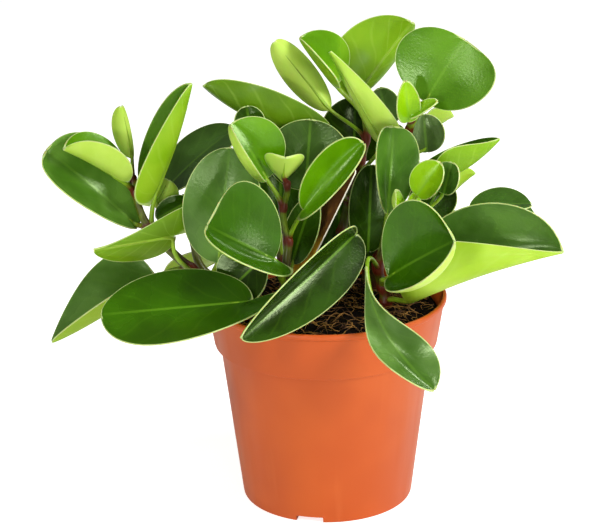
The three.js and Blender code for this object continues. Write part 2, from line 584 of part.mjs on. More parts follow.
function labelSolid(growth = 0) {
  const foot = vec(LABEL_FOOT);
  const rise = vec(LABEL_TOP).sub(foot);
  const height = rise.length();
  const up = rise.normalize();
  const across = vec(LABEL_ACROSS);
  across.addScaledVector(up, -across.dot(up)).normalize();
  const out = new THREE.Vector3().crossVectors(across, up);
  const card = new THREE.BoxGeometry(
    LABEL_WIDTH + 2 * growth,
    height + 2 * growth,
    LABEL_THICKNESS + 2 * growth,
  );
  card.applyMatrix4(new THREE.Matrix4().makeBasis(across, up, out));
  card.translate(...foot.addScaledVector(up, height / 2).addScaledVector(across, LABEL_WIDTH / 2).toArray());
  return toSolid(card);
}

// Assembly

const terracottaPlastic = new THREE.MeshStandardMaterial({ color: '#c8602c', roughness: 0.45, metalness: 0 });
const pottingSoil = new THREE.MeshStandardMaterial({ color: '#2a1c12', roughness: 0.95, metalness: 0 });
const labelCard = new THREE.MeshStandardMaterial({ color: '#8a5a20', roughness: 0.5, metalness: 0 });
const stemSkin = new THREE.MeshStandardMaterial({ color: '#6d3a22', roughness: 0.55, metalness: 0 });
const leafSkin = new THREE.MeshStandardMaterial({ color: '#3f8a1c', roughness: 0.3, metalness: 0 });

const plant = new THREE.Group();

function addPart(name, solid, material) {
  const mesh = new THREE.Mesh(toGeometry(solid), material);
  mesh.name = name;
  plant.add(mesh);
}

const stemClearances = Object.values(STEMS).map((stem) => stemSolid(stem, CLEARANCE));

addPart('pot', potSolid(), terracottaPlastic);
addPart(
  'soil',
  stemClearances.reduce((rest, stem) => rest.subtract(stem), soilSolid().subtract(labelSolid(CLEARANCE))),
  pottingSoil,
);
addPart('plant_label', labelSolid(), labelCard);

Object.entries(STEMS).forEach(([stemName, stem], stemIndex) => {
  const curve = stemCurve(stem);
  const young = stem.leaves.filter((leaf) => leaf.young);
  const grown = stem.leaves.filter((leaf) => !leaf.young);
  const stemWithBuds = young.reduce((solid, leaf) => solid.add(leafSolid(leaf, curve)), stemSolid(stem));
  addPart(`stem_${stemName}`, stemWithBuds, stemSkin);
  grown.forEach((leaf, index) => {
    const solid = leafSolid(leaf, curve).subtract(stemClearances[stemIndex]);
    addPart(`leaf_${stemName}_${index + 1}`, solid, leafSkin);
  });
});

export default plant;
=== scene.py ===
"""A bushy potted peperomia in metres: fleshy oval leaves on branching stems, in a round nursery pot."""

import logging
import math
import random
from collections.abc import Callable, Iterator
from contextlib import contextmanager
from dataclasses import dataclass
from enum import Enum

import bmesh
import bpy
from mathutils import Matrix, Quaternion, Vector, noise


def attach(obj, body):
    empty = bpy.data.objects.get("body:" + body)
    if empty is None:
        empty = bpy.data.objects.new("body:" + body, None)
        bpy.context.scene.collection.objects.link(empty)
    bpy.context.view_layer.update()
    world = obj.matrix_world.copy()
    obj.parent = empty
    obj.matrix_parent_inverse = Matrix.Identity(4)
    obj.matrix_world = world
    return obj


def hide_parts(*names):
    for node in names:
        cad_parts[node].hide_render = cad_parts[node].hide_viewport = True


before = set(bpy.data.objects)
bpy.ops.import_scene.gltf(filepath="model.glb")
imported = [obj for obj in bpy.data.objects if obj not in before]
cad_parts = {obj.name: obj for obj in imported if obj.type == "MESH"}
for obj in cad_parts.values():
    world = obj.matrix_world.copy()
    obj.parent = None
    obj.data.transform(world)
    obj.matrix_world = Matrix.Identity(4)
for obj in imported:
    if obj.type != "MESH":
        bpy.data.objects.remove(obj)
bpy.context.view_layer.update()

Triple = tuple[float, float, float]
Pair = tuple[float, float]
Tint = tuple[float, float, float, float]
Socket = bpy.types.NodeSocket
Node = bpy.types.Node
Tree = bpy.types.NodeTree
Material = bpy.types.Material
Piece = bpy.types.Object
Value = Socket | float | tuple

MM = 0.001
PICTURE_WIDTH_PX = 600
WHITE = (1.0, 1.0, 1.0, 1.0)
TINY = 1e-9

log = logging.getLogger("peperomia")


def srgb(red: int, green: int, blue: int) -> Tint:
    """Turns a screen colour into the linear colour that shaders use.

    Args:
        red: Red, 0 to 255.
        green: Green, 0 to 255.
        blue: Blue, 0 to 255.

    Returns:
        The linear colour with full alpha.
    """
    parts = [level / 255 for level in (red, green, blue)]
    linear = [part / 12.92 if part <= 0.04045 else ((part + 0.055) / 1.055) ** 2.4 for part in parts]
    return (linear[0], linear[1], linear[2], 1.0)


def smooth_step(value: float) -> float:
    """Eases a value between 0 and 1."""
    held = min(max(value, 0.0), 1.0)
    return held * held * (3 - 2 * held)


def fading(distance: float, reach: float) -> float:
    """Falls smoothly from 1 towards 0 as the distance passes the reach."""
    return math.exp(-((distance / reach) ** 2))


# What is where, in millimetres, as in the part's source


@dataclass(frozen=True)
class Leaf:
    """One leaf: where it leaves the stem, where its blade runs, how the blade is cupped, and its tints.

    The table gives at, base, tip, face and width in this order, without their names.
    Pairs are the left and the right half of the blade, seen from the base on its top side.
    The tints run from 0 to 1: tone from old to young on top, pale the same for the underside,
    and the third how much painted sheen, a greyish painted reflection of soft light, lies on the top.
    """

    at: float
    base: Triple
    tip: Triple
    face: Triple
    width: float
    bow: float = 0.03
    fold: Pair = (10, 10)
    curl: Pair = (10, 10)
    belly: Pair = (0.5, 0.5)
    fullness: Pair = (1.08, 1.08)
    lobe: Pair = (0.0, 0.0)
    flare: Pair = (0.0, 0.0)
    twist: float = 0.0
    via: Triple | None = None
    young: bool = False
    tone: float = 0.4
    pale: float = 0.5
    # How much painted sheen, a greyish painted reflection of soft light, lies on the top.
    painted_sheen: float = 0.0


@dataclass(frozen=True)
class Stem:
    """One stem: its path from the soil, its radius at the foot and at the end, and its leaves."""

    name: str
    path: tuple[Triple, ...]
    radius: Pair
    leaves: tuple[Leaf, ...]


STEMS = (
    Stem(
        name="left",
        path=((-32, -2, 78), (-42, -2, 99), (-72, -2, 125), (-87, 0, 142), (-92, 1, 157), (-93, 2, 165)),
        radius=(3.2, 1.6),
        leaves=(
            Leaf(0.76, (-92, 5, 139), (-133.6, -3, 181), (0.4, -0.8, 0.5), 44, bow=0.04, fold=(26, 8),
                 curl=(25, 10), belly=(0.72, 0.6), tone=0.52, painted_sheen=0.45),
            Leaf(0.94, (-98, -4, 166), (-124, -12, 184), (-0.2, -0.1, 1), 37, bow=0.02, fold=(42, 32),
                 curl=(20, 20), lobe=(0.1, 0.1), tone=0.6, pale=0.85),
            Leaf(1, (-93, 4, 175), (-97, 2, 201), (-0.6, 0.7, 0.2), 15, bow=0, fold=(40, 40), curl=(20, 20),
                 young=True, tone=0.9, pale=0.85),
            Leaf(0.74, (-82, 0, 159), (-63, 2, 211.5), (-1, 0, 0.3), 35.5, bow=-0.03, fold=(62, 34),
                 curl=(20, 20), belly=(0.42, 0.25), lobe=(0.1, 0.15), tone=0.6, pale=0.45),
            Leaf(0.42, (-74, -12, 139.5), (-111, -24, 137), (0, 1, 0.15), 28, via=(-84, -10, 130), bow=0,
                 fold=(5, 19), curl=(5, 10), belly=(0.05, 0.4), fullness=(2, 1.1), lobe=(0.3, 0.05),
                 tone=0.5, pale=0.25),
            Leaf(0.5, (-84, 6, 113), (-135, -12, 86), (-0.3, -0.6, 0.8), 48, bow=0, fold=(55, 10),
                 belly=(0.4, 0.25), fullness=(1.08, 1.3), tone=0.38, painted_sheen=0.5),
        ),
    ),
    Stem(
        name="left_inner",
        path=((-28, 6, 78), (-36, 6, 99), (-61, 6, 117), (-65, 8, 130), (-68, 12, 142), (-69, 12, 152)),
        radius=(2.8, 1.6),
        leaves=(
            Leaf(0.95, (-83, 6, 149), (-76, 8, 162), (0.3, 0.9, 0.2), 18, bow=0, fold=(20, 20), tone=0.95,
                 pale=0.9),
            Leaf(0.9, (-78, 22, 153), (-43, 32, 181), (-0.5, -0.35, 0.8), 34, bow=0.04, fold=(10, 0),
                 tone=0.25, painted_sheen=0.3),
            Leaf(0.5, (-52, -10, 125), (-45, -4, 181), (-0.1, -0.95, 0.3), 40, bow=0.05, tone=0.36,
                 painted_sheen=0.45),
            Leaf(0.85, (-66, 5, 152), (-82, 1.5, 144), (0, -0.9, 0.4), 14, young=True, tone=0.25),
        ),
    ),
    Stem(
        name="centre",
        path=((-19, -14, 78), (-20, -14, 99), (-19, -8, 123), (-18, -6, 134), (-20, -6, 143),
              (-20, -6, 152), (-18, -7, 159), (-18, -8, 164)),
        radius=(2.9, 1.5),
        leaves=(
            Leaf(0.35, (-25, -36, 135.3), (-55.6, -36, 152.3), (-0.1, -0.93, 0.35), 56, bow=0.04,
                 fold=(66, 2), curl=(14, 14), belly=(0.55, 0.7), fullness=(0.9, 0.75), lobe=(0.3, 0.02),
                 tone=0.36),
            Leaf(0.85, (-28, -7.8, 166.5), (-44, -9.8, 194.5), (0.25, -0.75, 0.6), 36, bow=0.05,
                 fold=(-8, 15), curl=(135, 15), tone=0.6, pale=0.85),
            Leaf(1, (-20, -8, 165.5), (-18.5, -17, 179.5), (0, 0.65, 0.75), 21, bow=0, fold=(20, 20),
                 belly=(0.75, 0.75), fullness=(1.3, 1.3), young=True, tone=0.95, pale=0.95),
            Leaf(0.65, (-10, -13, 152), (19, -10, 184), (-0.25, -0.85, 0.45), 29, bow=0.04, fold=(45, 22),
                 curl=(10, 50), belly=(0.58, 0.5), lobe=(0, 0.12), tone=0.6, pale=0.7),
            Leaf(0.3, (-16, 2, 120), (-5, 5, 153), (-0.3, -0.9, 0.2), 18, bow=0.04, tone=0.15),
            Leaf(0.22, (-38, -40, 115), (-106.6, -46, 111.8), (0, -0.55, 1), 48, bow=0, twist=-10,
                 fold=(8, -4), curl=(10, 4), belly=(0.58, 0.42), lobe=(0.3, 0.05), flare=(0.12, 0),
                 tone=0.32),
            Leaf(0.4, (-30, -21, 130), (-48, -21.6, 112.5), (0.1, -0.6, 0.8), 31, bow=0.04, tone=0.12),
        ),
    ),
    Stem(
        name="right",
        path=((28, 2, 78), (30, 2, 99), (26, 1, 119), (28, 0, 124), (33, 0, 135), (35, 0, 140),
              (36, 0, 146)),
        radius=(3.2, 1.6),
        leaves=(
            Leaf(0.6, (31, 8, 143), (34.5, 16, 185), (0.1, -0.95, 0.25), 28, fold=(38, 10), curl=(20, 10),
                 belly=(0.7, 0.62), tone=0.44, painted_sheen=0.25),
            Leaf(0.95, (45, -5, 156), (56, -8, 173), (-0.2, -0.9, 0.4), 18, fold=(10, 25), young=True,
                 tone=0.8),
            Leaf(1, (40.5, -3, 144.5), (34.5, -6, 159), (0.8, -0.4, 0.3), 13, bow=-0.25, fold=(25, 25),
                 curl=(15, 15), young=True, tone=0.97, pale=0.95),
            Leaf(1, (42.5, -3, 146), (44.5, -3, 157), (0, -0.9, 0.4), 7, bow=0.02, young=True, tone=0.97),
            Leaf(0.85, (58, -6, 157), (62, -4, 172), (-0.4, -0.8, 0.4), 18, fold=(10, 20), curl=(10, 20),
                 tone=0.3, painted_sheen=0.2),
            Leaf(0.42, (30, -32, 123.6), (60, -47, 146), (-0.15, -0.65, 0.75), 57, fold=(24, -17),
                 curl=(24, 104), belly=(0.62, 0.6), lobe=(0, 0.05), tone=0.35, pale=0.95),
            Leaf(0.3, (41, -16, 105.5), (113, -30, 134.2), (0, -0.1, 1), 74, fold=(54, 52), curl=(30, 52),
                 belly=(0.5, 0.15), fullness=(1, 1.65), tone=0.38, pale=0.72, painted_sheen=0.35),
            Leaf(0.56, (19, -38, 131), (48, -88.5, 88.5), (-0.95, -0.05, 0.2), 27, bow=0.1, twist=-80,
                 fold=(20, 36), curl=(10, 15), belly=(0.76, 0.76), fullness=(2.4, 2.2), tone=0.42,
                 painted_sheen=0.6),
        ),
    ),
    Stem(
        name="upper_right",
        path=((20, 26, 78), (24, 28, 99), (32, 30, 130), (38, 29, 160), (43, 22, 184), (44, 16, 191)),
        radius=(3.2, 1.6),
        leaves=(
            Leaf(0.9, (50, 13, 198), (69, 14, 228), (-0.3, -0.85, 0.45), 52.5, bow=0.04, fold=(8, 0),
                 curl=(5, 14), belly=(0.5, 0.66), fullness=(0.9, 0.8), tone=0.55, painted_sheen=0.15),
            Leaf(1, (41, 6, 190), (39.5, 3, 211), (0.3, -0.8, 0.3), 14, bow=0, fold=(15, 30),
                 belly=(0.4, 0.4), young=True, tone=0.85),
            Leaf(0.965, (42.4, 5, 192.3), (55, 2, 201), (-0.3, -0.5, 0.8), 9, bow=0, fold=(25, 25),
                 young=True, tone=0.85),
            Leaf(0.75, (52, 30, 168), (50.5, 32, 187), (-0.2, -0.9, 0.4), 21, bow=0.04, tone=0.15,
                 painted_sheen=0.6),
            Leaf(0.6, (52, 8, 159), (87, 20, 177), (0, -0.1, 1), 38, bow=-0.08, fold=(5, 64), curl=(10, 20),
                 belly=(0.38, 0.3), fullness=(1.2, 1.6), lobe=(0.1, 0), tone=0.25, pale=0.35),
            Leaf(0.6, (51, 42, 174), (66, 46, 182), (0, 0.3, 0.9), 24, via=(42, 42, 162), fold=(30, 40),
                 tone=0.9, pale=0.85),
            Leaf(0.5, (62, 28, 145), (76, 32, 156), (0, 0.3, 0.9), 22, fold=(30, 40), tone=0.9, pale=0.7),
            Leaf(0.4, (73, 24, 137), (104, 26, 141), (0, -0.15, 1), 30, bow=0.05, tone=0.3, painted_sheen=0.2),
            Leaf(0.3, (89, 34, 130), (107, 36, 133), (0, -0.3, 0.9), 20, tone=0.4, painted_sheen=0.3),
            Leaf(0.45, (50, 16, 138), (60, 22, 156), (-0.2, -0.8, 0.5), 26, tone=0.12),
        ),
    ),
    Stem(
        name="crown",
        path=((4, 28, 78), (5, 30, 99), (10, 33, 130), (17, 34, 155), (22, 35, 175), (22, 35, 184)),
        radius=(3.2, 1.6),
        leaves=(
            Leaf(0.35, (13, -17.5, 139.5), (-40, -67.5, 107), (0.5, -0.7, 0.5), 35, bow=0.04, fold=(12, 50),
                 curl=(12, 20), belly=(0.42, 0.42), lobe=(0.04, 0.04), tone=0.08),
            Leaf(0.92, (19, 42, 197), (45, 46, 230.5), (0.1, 0.9, 0.3), 47, fold=(60, 5), curl=(10, 5),
                 belly=(0.5, 0.38), fullness=(0.8, 0.9), lobe=(0, 0.15), tone=0.72, pale=0.35),
            Leaf(1, (7, 35, 201.5), (-10.5, 29, 227.2), (0.4, -0.5, 0.7), 37, fold=(34, 20), curl=(20, 10),
                 belly=(0.5, 0.4), tone=0.68, pale=0.4),
            Leaf(0.9, (3.2, 29, 191), (-23, 27, 226), (-0.4, 0.8, 0.3), 19.5, fold=(30, 25), tone=0.85,
                 pale=0.9),
            Leaf(0.8, (4, 26, 179), (-57.5, 12, 208.2), (0, 0.2, 1), 40, bow=-0.09, fold=(50, 5),
                 curl=(20, 5), tone=0.4, pale=0.12),
            Leaf(0.7, (29.5, 21, 176.5), (4, 25, 221), (0.5, 0.8, 0.3), 23, bow=0, fold=(26, 26),
                 belly=(0.1, 0.1), fullness=(1, 1), tone=0.75, pale=0.85),
            Leaf(0.6, (-9, 7, 156), (-6, 13, 190), (0, -0.95, 0.3), 42, bow=0.05, tone=0.15, painted_sheen=0.2),
            Leaf(0.75, (16, 56, 156), (17, 57, 190), (0, -0.95, 0.3), 36, bow=0.05, tone=0.1),
            Leaf(0.75, (-34, 4, 183), (-37, 6, 199), (0, -0.95, 0.3), 16, bow=0.05, tone=0.15),
            Leaf(0.45, (22, 21, 119), (24, 26, 163), (0, -0.95, 0.3), 22, bow=0.05, fold=(8, 8), tone=0.12),
        ),
    ),
    Stem(
        name="back_left",
        path=((-14, 22, 78), (-16, 24, 99), (-28, 38, 128), (-37, 48, 148), (-39, 52, 158)),
        radius=(3, 1.6),
        leaves=(
            Leaf(0.8, (-38, 58, 150), (-60, 82, 150), (-0.2, 0.3, 0.9), 36, bow=0.06, fold=(15, 15),
                 curl=(15, 15), tone=0.45),
            Leaf(0.95, (-30, 62, 162), (-27, 96, 160), (0, 0.4, 0.9), 38, bow=0.08, fold=(15, 15),
                 curl=(15, 15), tone=0.4),
            Leaf(0.3, (-42, 56, 108), (-78, 78, 82), (-0.3, 0.4, 0.85), 46, bow=0.06, curl=(15, 15),
                 tone=0.3),
            Leaf(0.5, (-14, 64, 132), (-8, 102, 112), (0, 0.5, 0.85), 42, bow=0.06, curl=(15, 15),
                 tone=0.3),
            Leaf(0.6, (-38, 58, 130), (-62, 92, 116), (-0.2, 0.4, 0.85), 40, bow=0.06, fold=(12, 12),
                 curl=(15, 15), tone=0.35),
            Leaf(0.4, (-22, 30, 128), (-21, 36, 168), (0, -0.9, 0.3), 36, bow=0.05, tone=0.15),
            Leaf(1, (-40, 52, 162), (-46, 44, 175), (0.3, 0.6, 0.7), 16, bow=0, fold=(40, 40), young=True,
                 tone=0.9),
        ),
    ),
    Stem(
        name="back_right",
        path=((20, 40, 78), (22, 41, 99), (30, 48, 125), (34, 54, 148), (35, 57, 158)),
        radius=(3, 1.6),
        leaves=(
            Leaf(0.85, (41, 62, 148), (54, 90, 144), (0.2, 0.4, 0.9), 36, bow=0.06, fold=(15, 15),
                 curl=(15, 15), tone=0.45),
            Leaf(0.6, (48, 58, 126), (82, 74, 112), (0.3, 0.3, 0.9), 42, bow=0.06, curl=(15, 15), tone=0.3),
            Leaf(0.5, (36, 66, 118), (50, 100, 100), (0.2, 0.5, 0.85), 46, bow=0.06, curl=(15, 15),
                 tone=0.35),
            Leaf(0.95, (28, 64, 158), (20, 96, 160), (0, 0.4, 0.9), 40, bow=0.08, fold=(15, 15),
                 curl=(15, 15), tone=0.45),
            Leaf(0.7, (10, 62, 142), (0, 90, 140), (0, 0.4, 0.9), 38, bow=0.06, fold=(15, 15),
                 curl=(15, 15), tone=0.5),
            Leaf(0.3, (9.6, 39.5, 108), (7, 44, 150), (0, -0.9, 0.3), 38, bow=0.05, tone=0.15),
            Leaf(1, (36, 58, 162), (40, 50, 174), (-0.3, 0.6, 0.7), 14, bow=0, fold=(40, 40), young=True,
                 tone=0.9),
            Leaf(1, (34, 49, 177), (29, 47, 197), (0, -0.95, 0.3), 17, via=(38, 52, 168), young=True,
                 tone=0.15, painted_sheen=0.5),
            Leaf(0.3, (24, 33.5, 105), (21, 34, 118), (0, -0.95, 0.3), 11, young=True, tone=0.12),
        ),
    ),
)


class Graph:
    """A short way to add and join the nodes of a material or a node group."""

    MIX_INPUTS = (0, 6, 7)
    MIX_OUTPUT = 2

    def __init__(self, tree: Tree) -> None:
        """Takes the tree that the nodes go into."""
        self.tree = tree

    def feed(self, socket: Socket, value: Value) -> None:
        """Links or sets a socket.

        Args:
            socket: The input to feed.
            value: Another node's output, or a plain number or colour.
        """
        if isinstance(value, Socket):
            self.tree.links.new(value, socket)
        else:
            socket.default_value = value

    def feed_all(self, node: Node, **values: Value) -> Node:
        """Feeds inputs by name, with underscores for spaces, and returns the node."""
        for key, value in values.items():
            self.feed(node.inputs[key.replace("_", " ")], value)
        return node

    def in_order(self, node: Node, *values: Value) -> Socket:
        """Feeds a node's first inputs in order and returns its first output."""
        for socket, value in zip(node.inputs, values):
            self.feed(socket, value)
        return node.outputs[0]

    def add(self, kind: str, inputs: dict[str, Value] | None = None, **settings: object) -> Node:
        """Adds a node.

        Args:
            kind: The node's type name.
            inputs: What to feed by socket name.
            **settings: The node's own settings.

        Returns:
            The node.
        """
        node = self.tree.nodes.new(kind)
        for key, setting in settings.items():
            setattr(node, key, setting)
        return self.feed_all(node, **(inputs or {}))

    def math(self, operation: str, *values: Value) -> Socket:
        """Adds a Math node on one to three values and returns its result."""
        return self.in_order(self.add("ShaderNodeMath", operation=operation), *values)

    def times(self, first: Value, second: Value) -> Socket:
        """Multiplies two values."""
        return self.math("MULTIPLY", first, second)

    def plus(self, first: Value, second: Value) -> Socket:
        """Adds two values."""
        return self.math("ADD", first, second)

    def mix(self, share: Value, first: Value, second: Value) -> Socket:
        """Mixes two colours by a share and returns the result."""
        node = self.add("ShaderNodeMix", data_type="RGBA")
        for place, value in zip(self.MIX_INPUTS, (share, first, second)):
            self.feed(node.inputs[place], value)
        return node.outputs[self.MIX_OUTPUT]

    def fit(self, value: Value, low: float, high: float, first: float = 0.0, last: float = 1.0) -> Socket:
        """Eases a value from one range into another.

        Args:
            value: What to map.
            low: The value that gives first.
            high: The value that gives last.
            first: The result at low.
            last: The result at high.

        Returns:
            The mapped value, held between first and last.
        """
        node = self.add("ShaderNodeMapRange", interpolation_type="SMOOTHSTEP")
        return self.in_order(node, value, low, high, first, last)

    def ramp(self, value: Value, *stops: tuple[float, Tint]) -> Socket:
        """Colours a value by stops in order, each a position and a colour."""
        node = self.add("ShaderNodeValToRGB", {"Fac": value})
        marks = node.color_ramp.elements
        for position, colour in stops[1:-1]:
            marks.new(position).color = colour
        for end in (0, -1):
            marks[end].position, marks[end].color = stops[end]
        return node.outputs[0]

    def attribute(self, name: str) -> Socket:
        """Reads one of the piece's own mesh attributes."""
        return self.add("ShaderNodeAttribute", attribute_name=name).outputs["Fac"]

    def place(self, name: str = "Object") -> Socket:
        """Reads Object or UV coordinates."""
        return self.add("ShaderNodeTexCoord").outputs[name]

    def noise(self, scale: Value, detail: float = 2.0, where: Value | None = None) -> Socket:
        """Adds a noise at a scale per metre and returns its value."""
        spot = self.place() if where is None else where
        inputs = {"Vector": spot, "Scale": scale, "Detail": detail}
        return self.add("ShaderNodeTexNoise", inputs).outputs["Fac"]

    def stretch(self, along: Triple) -> Socket:
        """Object coordinates, scaled by a factor on each axis."""
        return self.add("ShaderNodeMapping", {"Vector": self.place(), "Scale": along}).outputs[0]

    def bump(self, height: Value, strength: float, distance_mm: float, below: Value | None = None) -> Socket:
        """Adds a Bump node.

        Args:
            height: The relief, 0 to 1.
            strength: How strongly it shows.
            distance_mm: How deep it is.
            below: A coarser relief's normal under it.

        Returns:
            The bumped normal.
        """
        relief = {"Height": height, "Strength": strength, "Distance": distance_mm * MM}
        node = self.add("ShaderNodeBump", relief)
        if below is not None:
            self.feed(node.inputs["Normal"], below)
        return node.outputs[0]

    def for_camera(self, others: float, camera: float) -> Socket:
        """Gives the camera's rays one value and all other rays another."""
        seen = self.add("ShaderNodeLightPath").outputs["Is Camera Ray"]
        return self.fit(seen, 0.0, 1.0, others, camera)

    def use(self, group: Tree, **inputs: Value) -> Node:
        """Places a node group and feeds its inputs, whose underscores stand for spaces."""
        return self.feed_all(self.add("ShaderNodeGroup", node_tree=group), **inputs)


def new_group(name: str, inputs: dict[str, float], outputs: tuple[str, ...]) -> tuple[Graph, Node, Node]:
    """Starts a shader node group of plain values.

    Args:
        name: The group's name.
        inputs: Its inputs and their usual values.
        outputs: Its outputs.

    Returns:
        Its graph, its input node and its output node.
    """
    tree = bpy.data.node_groups.new(name, "ShaderNodeTree")
    for key, usual in inputs.items():
        socket = tree.interface.new_socket(name=key, in_out="INPUT", socket_type="NodeSocketFloat")
        socket.default_value = usual
    for key in outputs:
        tree.interface.new_socket(name=key, in_out="OUTPUT", socket_type="NodeSocketFloat")
    graph = Graph(tree)
    return graph, graph.add("NodeGroupInput"), graph.add("NodeGroupOutput")


# Veins, as shares of the blade where no unit is named

MIDRIB_HALF_WIDTH_MM = (0.3, 1.0)
VEIN_WOBBLE = 0.10
VEIN_ARCH = 0.42
VEINS_PER_BLADE = 6.5
VEIN_HALF_WIDTH = 0.11


def vein_group() -> Tree:
    """Builds the pattern of veins that both faces of a blade share.

    Returns:
        A group that puts out the midrib and the faint side veins, which leave it and arch to the tip.
    """
    usual = {"Side": 0.5, "Share": 0.5, "Across": 5.0}
    graph, given, result = new_group("Leaf veins", usual, ("Midrib", "Side veins"))
    share = given.outputs["Share"]
    reach = graph.math("ABSOLUTE", graph.math("MULTIPLY_ADD", given.outputs["Side"], 2.0, -1.0))
    taper = graph.fit(share, 0.35, 1.0, 1.0, 0.15)
    midrib = graph.times(graph.fit(given.outputs["Across"], *MIDRIB_HALF_WIDTH_MM, 1.0, 0.0), taper)
    wobble = graph.times(graph.math("SUBTRACT", graph.noise(60.0, 1.0), 0.5), VEIN_WOBBLE)
    arch = graph.times(graph.math("POWER", reach, 0.8), VEIN_ARCH)
    course = graph.plus(graph.math("SUBTRACT", share, arch), wobble)
    comb = graph.math("PINGPONG", graph.times(graph.plus(course, 2.0), VEINS_PER_BLADE), 0.5)
    line = graph.fit(comb, 0.0, VEIN_HALF_WIDTH, 1.0, 0.0)
    fade = graph.times(graph.fit(reach, 0.55, 0.95, 1.0, 0.0), graph.fit(share, 0.97, 0.8, 0.0, 1.0))
    graph.feed_all(result, Midrib=midrib, Side_veins=graph.times(line, fade))
    return graph.tree


def grain_group() -> Tree:
    """Builds the uneven tint and the pebbled relief that living skins share.

    Returns:
        A group that puts out Cloud, a slow unevenness, and Pebble, a fine relief.
    """
    usual = {"Cloud scale": 45.0, "Pebble scale": 900.0}
    graph, given, result = new_group("Living skin", usual, ("Cloud", "Pebble"))
    for name, detail in (("Cloud", 3.0), ("Pebble", 2.0)):
        graph.feed(result.inputs[name], graph.noise(given.outputs[f"{name} scale"], detail))
    return graph.tree


class Finish(Enum):
    """The material slots of the record."""

    POT = "pot"
    SOIL = "soil"
    LABEL = "label"
    STEM = "stem"
    LEAF = "leaf"


def new_material(name: str, **constants: Value) -> tuple[Material, Graph, Node]:
    """Starts a material on the Principled shader.

    Args:
        name: The material's name.
        **constants: Socket values that are the same all over, with underscores for spaces.

    Returns:
        The material, its graph and its shader node.
    """
    material = bpy.data.materials.new(name)
    material.use_nodes = True
    graph = Graph(material.node_tree)
    return material, graph, graph.feed_all(material.node_tree.nodes["Principled BSDF"], **constants)


@dataclass(frozen=True)
class BladeSkin:
    """One face of the leaves: its tint from old to young, its veins, its gloss and its painted greyish sheen.
    """

    MIDRIB_STRENGTH = 0.45
    RIM_STRENGTH = 0.8
    GROWN_AT = 0.4
    FRESH_AT = 0.68

    name: str
    tint_by: str
    old: Tint
    grown: Tint
    fresh: Tint
    young: Tint
    vein: Tint
    vein_strength: float
    rim_width_mm: float
    roughness: Pair
    gloss: float
    through: float
    # How strongly the painted sheen shows on this face.
    painted_sheen_strength: float
    specular: float

    def material(self, veins: Tree, grain: Tree) -> Material:
        """Builds the skin's material.

        Args:
            veins: The vein group.
            grain: The living skin group.

        Returns:
            The material.
        """
        material, graph, shader = new_material(
            self.name,
            Coat_Weight=self.gloss,
            Coat_Roughness=0.16,
            Subsurface_Weight=self.through,
            Subsurface_Scale=1.6 * MM,
            Subsurface_Radius=(0.5, 1.0, 0.12),
            Specular_IOR_Level=self.specular,
            Specular_Tint=(0.8, 1.0, 0.55, 1.0),
            IOR=1.45,
        )
        skin = graph.use(grain, Cloud_scale=38.0, Pebble_scale=800.0)
        cloud = skin.outputs["Cloud"]
        spot = graph.add("ShaderNodeSeparateXYZ", {"Vector": graph.place("UV")}).outputs
        pattern = graph.use(veins, Side=spot["X"], Share=spot["Y"], Across=graph.attribute("across")).outputs
        green = graph.ramp(
            graph.plus(graph.attribute(self.tint_by), graph.fit(cloud, 0.3, 0.7, -0.09, 0.09)),
            (0.05, self.old),
            (self.GROWN_AT, self.grown),
            (self.FRESH_AT, self.fresh),
            (0.95, self.young),
        )
        veined = graph.mix(graph.times(pattern["Side veins"], self.vein_strength), green, self.vein)
        ribbed = graph.mix(graph.times(pattern["Midrib"], self.MIDRIB_STRENGTH), veined, self.vein)
        # Painted sheen: a greyish painted reflection of soft light, laid over the top's colour by the leaf's
        # share of it.
        painted_sheen_share = graph.times(graph.attribute("painted_sheen"), graph.fit(cloud, 0.32, 0.6, 0.35, 1.0))
        with_painted_sheen = graph.mix(graph.times(painted_sheen_share, self.painted_sheen_strength), ribbed, PAINTED_SHEEN_TINT)
        inner = self.rim_width_mm * 0.3
        edge = graph.fit(graph.attribute("margin"), inner, self.rim_width_mm, self.RIM_STRENGTH, 0.0)
        relief = graph.plus(pattern["Side veins"], graph.times(pattern["Midrib"], 2.0))
        sunken = graph.bump(relief, -0.35, 0.25)
        graph.feed_all(
            shader,
            Base_Color=graph.mix(edge, with_painted_sheen, MARGIN_TINT),
            Roughness=graph.fit(cloud, 0.3, 0.7, *self.roughness),
            Normal=graph.bump(skin.outputs["Pebble"], 0.55, 0.14, sunken),
        )
        return material


MARGIN_TINT = srgb(202, 218, 142)
# The grey-green of the painted sheen on leaf tops.
PAINTED_SHEEN_TINT = srgb(160, 190, 120)

TOP_SKIN = BladeSkin(
    name="leaf_top",
    tint_by="tone",
    old=srgb(28, 50, 1),
    grown=srgb(56, 104, 0),
    fresh=srgb(96, 152, 1),
    young=srgb(160, 208, 14),
    vein=srgb(122, 176, 40),
    vein_strength=0.05,
    rim_width_mm=0.45,
    roughness=(0.2, 0.3),
    gloss=0.0,
    through=0.1,
    painted_sheen_strength=0.4,
    specular=0.5,
)

UNDER_SKIN = BladeSkin(
    name="leaf_underside",
    tint_by="pale",
    old=srgb(84, 122, 4),
    grown=srgb(126, 170, 14),
    fresh=srgb(162, 198, 46),
    young=srgb(190, 220, 92),
    vein=srgb(190, 222, 96),
    vein_strength=0.12,
    rim_width_mm=0.6,
    roughness=(0.4, 0.52),
    gloss=0.05,
    through=0.25,
    painted_sheen_strength=0.0,
    specular=0.4,
)


